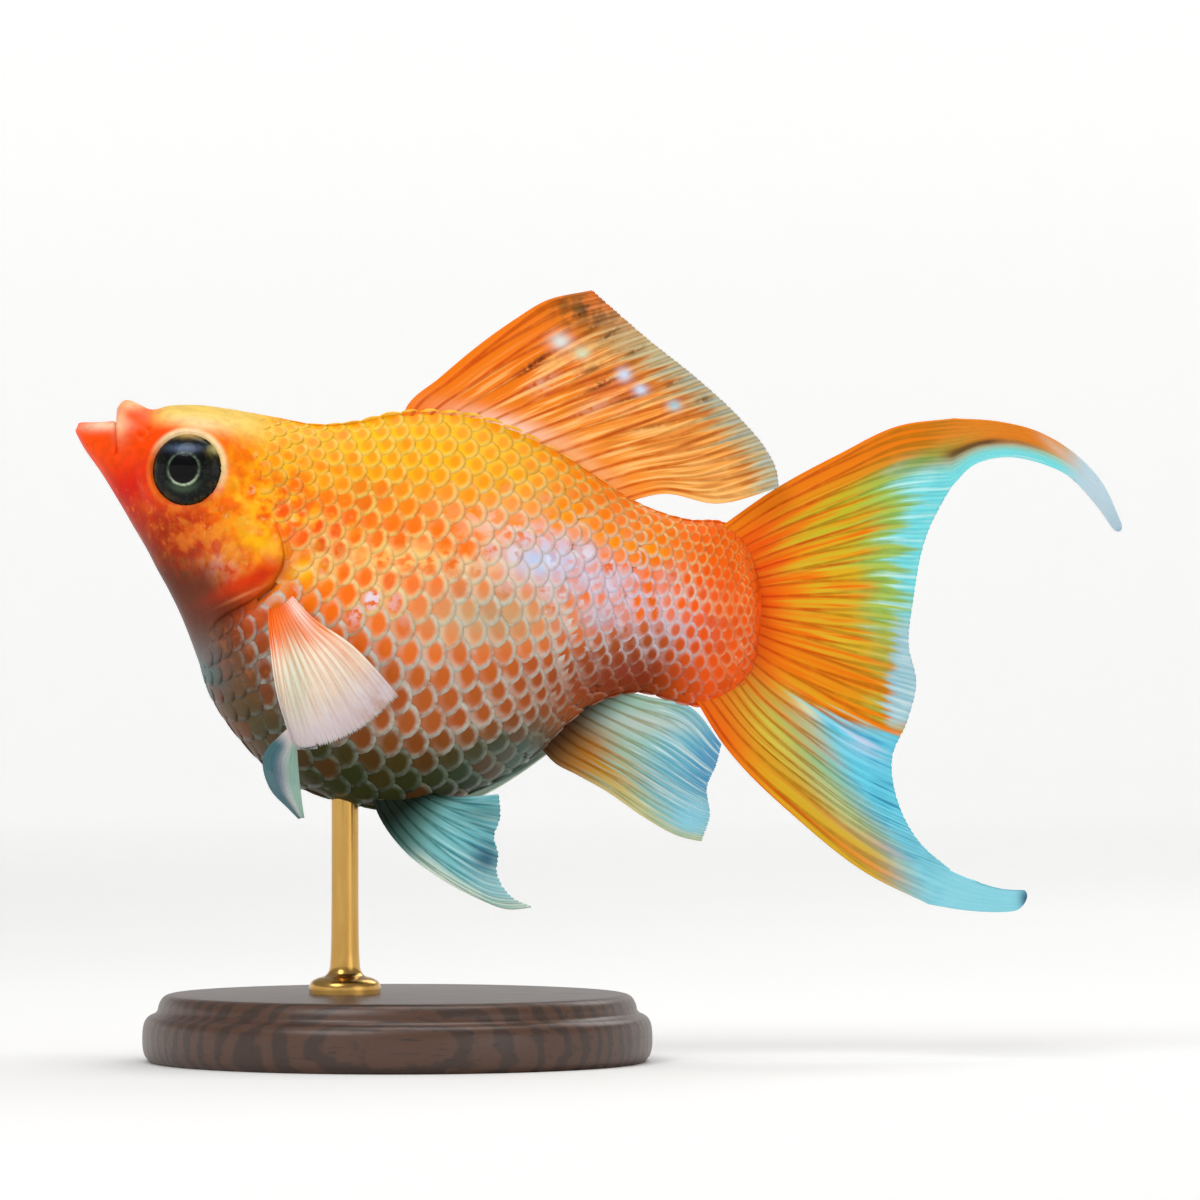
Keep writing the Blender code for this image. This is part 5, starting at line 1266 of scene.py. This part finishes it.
upper_flat = drawn_out(UPPER_OUTER, UPPER_INNER, v[:1] / UPPER_SHARE, 0.965)
lower_flat = drawn_out(LOWER_OUTER, LOWER_INNER, (1 - v[:1]) / (1 - LOWER_SHARE), 0.90)
is_upper = np.broadcast_to(v[:1] < 0.5, upper_flat.shape[:2])
in_bay = np.broadcast_to((v[:1] > UPPER_SHARE + 1e-6) & (v[:1] < LOWER_SHARE - 1e-6), is_upper.shape)
flat = run_on(flat, hook, np.where(is_upper[..., None], upper_flat, lower_flat), in_bay)
along = np.broadcast_to(hook, is_upper.shape)
spread = np.concatenate([v, np.broadcast_to(v[:1], along.shape)])
reach = np.concatenate([u, 1 + along])
rays_here = np.concatenate([rays_here, np.broadcast_to(rays_here[-1:], along.shape)])
half = fin_half(np.minimum(reach, 1.0), rays_here, root_half=0.34, tip=0.75)
half[len(u) :] *= 1 - 0.35 * np.broadcast_to(hook, along.shape) ** 3
cells = np.ones((len(flat) - 1, flat.shape[1] - 1), bool)
columns = np.arange(flat.shape[1] - 1) / (flat.shape[1] - 1)
cells[len(u) - 1 :] = ((columns < UPPER_SHARE - 0.002) | (columns >= LOWER_SHARE))[None, :]


def tail_washes(finish, patch, reach, spread):
    x, z = finish.x, finish.z
    lines, wisps = finish.streaks(90.0, 2.0), finish.streaks(40.0, 1.2)
    feathered = reach + (wisps - 0.5) * 0.45 + (lines - 0.5) * 0.25
    upper_half = spread.step(0.62, 0.46) * spread.step(0.05, 0.14)
    under_point = (13.7 - 0.31 * (x - 49.0) - z + (lines - 0.5) * 3.0).step(-0.3, 0.7)
    behind_band = (x - 49.0 - 0.70 * (12.9 - z) + (wisps - 0.5) * 2.0).step(-0.5, 0.9)
    blue_half = under_point * behind_band
    pale_margin = x - 54.0 - (z - 15.5).clamp() * 0.4 + (lines - 0.5) * 3.0
    beside_bay = z.step(20.5, 18.0) * z.step(11.8, 13.0)
    hook_line = (-(((spread - 0.082) * 80.0) ** 2.0)).exp()
    return (
        ((240, 88, 6), reach.step(0.34, 0.10)),
        ((222, 176, 32), feathered.step(0.20, 0.46) * lines.step(0.36, 0.58)),
        ((186, 188, 40), patch((51.6, 26.6), (4.6, 2.6), 0.5) * wisps.step(0.40, 0.58) * 0.9),
        ((214, 198, 56), patch((51.4, 21.8), (3.6, 3.2)) * wisps.step(0.42, 0.60) * 0.8),
        ((226, 96, 6), lines.step(0.47, 0.36) * reach.step(0.8, 0.5) * 0.55),
        ((160, 204, 96), (feathered + (0.30 - spread) * 0.25).step(0.60, 0.82) * upper_half * 0.85),
        ((132, 232, 236), (feathered + (0.30 - spread) * 0.5).step(0.82, 0.96) * upper_half),
        ((206, 246, 244), lines.step(0.52, 0.64) * feathered.step(0.72, 0.9) * upper_half * 0.7),
        ((234, 122, 8), patch((51.2, 16.2), (5.8, 2.6), -0.42) * 0.85),
        ((222, 160, 30), patch((53.6, 15.6), (2.2, 1.6), -0.4) * lines.step(0.4, 0.6) * 0.8),
        ((226, 190, 50), patch((51.2, 17.8), (2.8, 1.0), -0.2) * lines.step(0.42, 0.58) * 0.8),
        ((186, 196, 80), pale_margin.step(-1.6, -0.2) * lines.step(0.40, 0.60) * beside_bay * 0.6),
        ((176, 212, 222), pale_margin.step(-0.3, 0.6) * beside_bay),
        ((220, 236, 238), pale_margin.step(0.2, 1.2) * lines.step(0.48, 0.62) * beside_bay * 0.8),
        ((204, 168, 40), patch((48.6, 9.6), (7.6, 2.1), -0.83) * 0.95),
        ((150, 186, 84), patch((49.6, 10.2), (6.0, 1.1), -0.86) * wisps.step(0.40, 0.56) * 0.85),
        ((216, 200, 70), patch((46.6, 11.6), (3.4, 0.9), -0.9) * lines.step(0.42, 0.58) * 0.8),
        ((112, 212, 236), blue_half),
        ((112, 214, 236), patch((53.6, 8.0), (6.4, 2.1), -0.93) * under_point),
        # Pale lilac streaks on the lower lobe: a painted sheen.
        ((206, 214, 240), patch((52.2, 11.6), (2.2, 0.8), -0.6) * lines.step(0.44, 0.60) * blue_half * 0.9),
        ((70, 150, 200), blue_half * lines.step(0.46, 0.34) * 0.7),
        ((148, 220, 234), x.step(53.0, 57.5) * z.step(9.0, 5.0)),
        ((60, 150, 180), patch((54.6, 6.2), (4.0, 1.2), -0.93) * lines.step(0.48, 0.36) * 0.8),
        ((214, 176, 44), patch((51.6, 5.0), (3.4, 0.6), -0.74) * wisps.step(0.34, 0.56) * 0.85),
        ((196, 214, 150), patch((50.8, 7.2), (3.0, 0.6), -0.83) * 0.6),
        ((232, 232, 176), patch((48.9, 13.2), (1.4, 0.4), -0.8) * wisps.step(0.36, 0.56) * 0.7),
        ((40, 84, 124), patch((63.3, 0.9), (0.45, 0.8)) * 0.9),
        ((236, 126, 14), spread.step(0.13, 0.04) * x.step(66.0, 62.0)),
        ((238, 136, 30), spread.step(0.095, 0.06) * x.step(56.0, 58.5) * x.step(67.0, 64.0)),
        ((150, 172, 70), patch((56.4, 30.0), (3.2, 0.6), 0.42) * 0.8),
        ((150, 96, 40), hook_line * x.step(60.4, 62.0) * x.step(66.0, 63.0) * 0.6),
        ((70, 44, 14), hook_line * x.step(57.4, 58.8) * x.step(62.4, 60.8) * 0.85),
        ((240, 196, 166), patch((65.6, 30.8), (1.5, 0.35), -0.7) * 0.8),
        ((206, 226, 236), x.step(65.4, 67.6)),
    )


tail_shades = ((0.76, 0.46, 0.18, 1), (0.62, 0.80, 0.84, 1))
tail_material = fin_finish("tail_skin", tint(242, 128, 12), tail_washes, tail_shades)
fields = (rays_here, reach, spread, 0.12 * smooth_step(0.8, 1.0, reach))
lean = tail_sway(flat[..., 0], flat[..., 1])
tail_fin = fin_piece("tail_web", flat, lean, fields, tail_material, half, cells)
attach(tail_fin, "root")
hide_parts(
    "tail_fin_upper",
    "tail_fin_middle",
    "tail_fin_lower",
    "tail_streamer_upper",
    "tail_streamer_tip",
    "tail_streamer_lower",
)

# The display stand: a base turned from dark walnut with a moulded edge, oiled to a satin sheen, and
# a thin brass rod with a small turned foot that rises to the belly.
BASE_X, ROD_X, BASE_HEIGHT, EDGE = 21.5, 18.0, 4.5, 17.0


def turned_round(profile, turn):
    """A profile of radii and heights as rings round the z axis."""
    radii, heights = np.array(profile)[:, :, None].swapaxes(0, 1)
    return np.stack([radii * np.cos(turn), radii * np.sin(turn), heights + 0 * turn], axis=-1)


def lathe(name, axis_x, profile, around, finish):
    turn = np.arange(around) * 2 * math.pi / around
    rings = turned_round(profile, turn) + (axis_x, 0, -LIFT)
    count = len(rings)
    ends = [(axis_x, 0, profile[0][1] - LIFT), (axis_x, 0, profile[-1][1] - LIFT)]
    faces = ring_faces(count, around, count * around, count * around + 1)
    piece = piece_from(name, np.concatenate([rings.reshape(-1, 3), ends]), faces, {}, finish)
    piece.data.set_sharp_from_angle(angle=math.radians(35))
    return piece


def eased(profile, cuts):
    """The profile with each corner rounded, by cutting it a few times."""
    points = np.array(profile, float)
    for _ in range(cuts):
        low, high = points[:-1], points[1:]
        inner = np.stack([low * 0.75 + high * 0.25, low * 0.25 + high * 0.75], axis=1).reshape(-1, 2)
        points = np.concatenate([points[:1], inner, points[-1:]])
    return points


wood = Finish("oiled_walnut")
grain = wood.node(
    "ShaderNodeTexWave",
    {"wave_type": "BANDS", "bands_direction": "Y"},
    {"Vector": wood.spot, "Scale": 260.0, "Distortion": 5.0, "Detail": 3.0, "Detail Scale": 1.5},
    "Fac",
)
pores = wood.noise(2.2, 3.0, (0.12, 1.6, 1.6))
wood_material = wood.finish_with(
    base_color=wood.wash(
        tint(78, 48, 30),
        ((48, 28, 17), grain.step(0.35, 0.8) * 0.8),
        ((30, 17, 11), pores.step(0.58, 0.72) * 0.7),
    ),
    roughness=0.38 + 0.14 * pores,
    coat_weight=0.25,
    coat_roughness=0.25,
    normal=wood.bump(pores + grain * 0.4, 0.3, 0.05),
)
brass = Finish("polished_brass")
drawn = brass.noise(1.5, 2.0, (1, 1, 0.2))
brass_material = brass.finish_with(
    base_color=brass.mix(tint(212, 170, 96), tint(186, 140, 70), drawn),
    metallic=1.0,
    roughness=0.18 + 0.12 * drawn,
    normal=brass.bump(drawn, 0.08, 0.02),
)
base_profile = (
    (EDGE - 2.4, BASE_HEIGHT),
    (EDGE - 1.5, BASE_HEIGHT - 0.05),
    (EDGE - 1.1, BASE_HEIGHT - 0.6),
    (EDGE - 1.0, BASE_HEIGHT - 1.25),
    (EDGE - 0.3, BASE_HEIGHT - 1.5),
    (EDGE, BASE_HEIGHT - 2.2),
    (EDGE, 0.6),
    (EDGE - 0.5, 0.0),
)
stand_base = lathe("display_base", BASE_X, eased(base_profile, 2), 160, wood_material)
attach(stand_base, "root")
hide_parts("stand_base")
belly = hide(BODY_SLICES, np.linspace(9, 12, 400), np.full(400, math.pi))
rod_top = LIFT + float(np.interp(ROD_X, belly[:, 0], belly[:, 2])) + 0.25
rod_profile = (
    (0.9, rod_top),
    (0.9, BASE_HEIGHT + 2.2),
    (1.15, BASE_HEIGHT + 1.2),
    (1.9, BASE_HEIGHT + 1.05),
    (2.4, BASE_HEIGHT + 0.7),
    (2.4, BASE_HEIGHT),
)
stand_rod = lathe("display_rod", ROD_X, eased(rod_profile, 2), 64, brass_material)
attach(stand_rod, "root")
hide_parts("stand_rod")

# The stage: a wide, shallow dish of plain pale paper that the model stands in, so that it looks the
# same from every side, with large soft lights and a long lens square to the fish's left side, where
# one millimetre is fifteen of the photograph's pixels.
# Away from the middle the paper glows softly: a painted glow, so that the far wall is evenly bright.
paper = Finish("pale_paper")
from_middle = ((paper.x - LENGTH / 2) ** 2.0 + paper.y**2.0) ** 0.5
paper_material = paper.finish_with(
    base_color=tint(244, 244, 243),
    roughness=0.9,
    emission_color=paper.mix((0, 0, 0, 1), (1, 1, 1, 1), from_middle.step(150, 700)),
    emission_strength=0.40,
)
dish_line = [(0.02, 0.0), (0.55, 0.0), (0.72, 0.004), (0.86, 0.03), (0.94, 0.09), (0.98, 0.18), (1.0, 0.30)]
DISH_ROWS, DISH_SPOKES = 60, 96
dish_line = curve_through(dish_line)(np.linspace(0, 1, DISH_ROWS))
turn = np.arange(DISH_SPOKES) * 2 * math.pi / DISH_SPOKES
dish_rings = turned_round(dish_line, turn)
dish_mesh = bpy.data.meshes.new("paper_dish")
dish_middle = DISH_ROWS * DISH_SPOKES
dish_faces = [face for face in ring_faces(DISH_ROWS, DISH_SPOKES, dish_middle, -1) if -1 not in face]
dish_mesh.from_pydata([*dish_rings.reshape(-1, 3).tolist(), (0, 0, 0)], [], dish_faces)
dish_mesh.materials.append(paper_material)
dish_mesh.shade_smooth()
dish_mesh.flip_normals()
linked("paper_dish", dish_mesh)

PX_PER_MM, PHOTO_PX, JAW_TIP_PX, LOWEST_TIP_PX = 15, 1200, 75, 911
FRAME_MM = PHOTO_PX / PX_PER_MM
LENS, SENSOR = 260.0, 36.0
aim_x = (PHOTO_PX / 2 - JAW_TIP_PX) / PX_PER_MM - LENGTH / 2
aim_z = (LOWEST_TIP_PX - PHOTO_PX / 2) / PX_PER_MM + LIFT
aim = Vector((aim_x, 0.0, aim_z)) * 0.001
camera_data = bpy.data.cameras.new("long_lens")
camera_data.lens, camera_data.sensor_width = LENS, SENSOR
camera_data.clip_start, camera_data.clip_end = 0.01, 20
camera = linked("long_lens", camera_data)
camera.location = aim + Vector((0, -FRAME_MM * 0.001 * LENS / SENSOR, 0.0))
camera.rotation_euler = (math.pi / 2, 0, 0)
bpy.context.scene.camera = camera

lit_spot = Vector((0, 0, 0.03))
for name, place, size, watts in (
    ("soft_key", (-0.22, -0.30, 0.42), 0.30, 1.12),
    ("soft_fill", (0.38, -0.38, 0.16), 0.34, 0.28),
    ("soft_top", (0.05, 0.06, 0.50), 0.34, 1.0),
    ("soft_rim", (0.20, 0.30, 0.30), 0.24, 0.4),
):
    light_data = bpy.data.lights.new(name, "AREA")
    light_data.shape, light_data.size, light_data.energy = "DISK", size, watts
    light = linked(name, light_data)
    light.location = place
    light.rotation_euler = (lit_spot - Vector(place)).to_track_quat("-Z", "Y").to_euler()
world = bpy.data.worlds.new("pale_room")
world.use_nodes = True
world.node_tree.nodes["Background"].inputs[0].default_value = (1, 1, 1, 1)
world.node_tree.nodes["Background"].inputs[1].default_value = 0.34
bpy.context.scene.world = world
bpy.context.scene.view_settings.view_transform = "Standard"
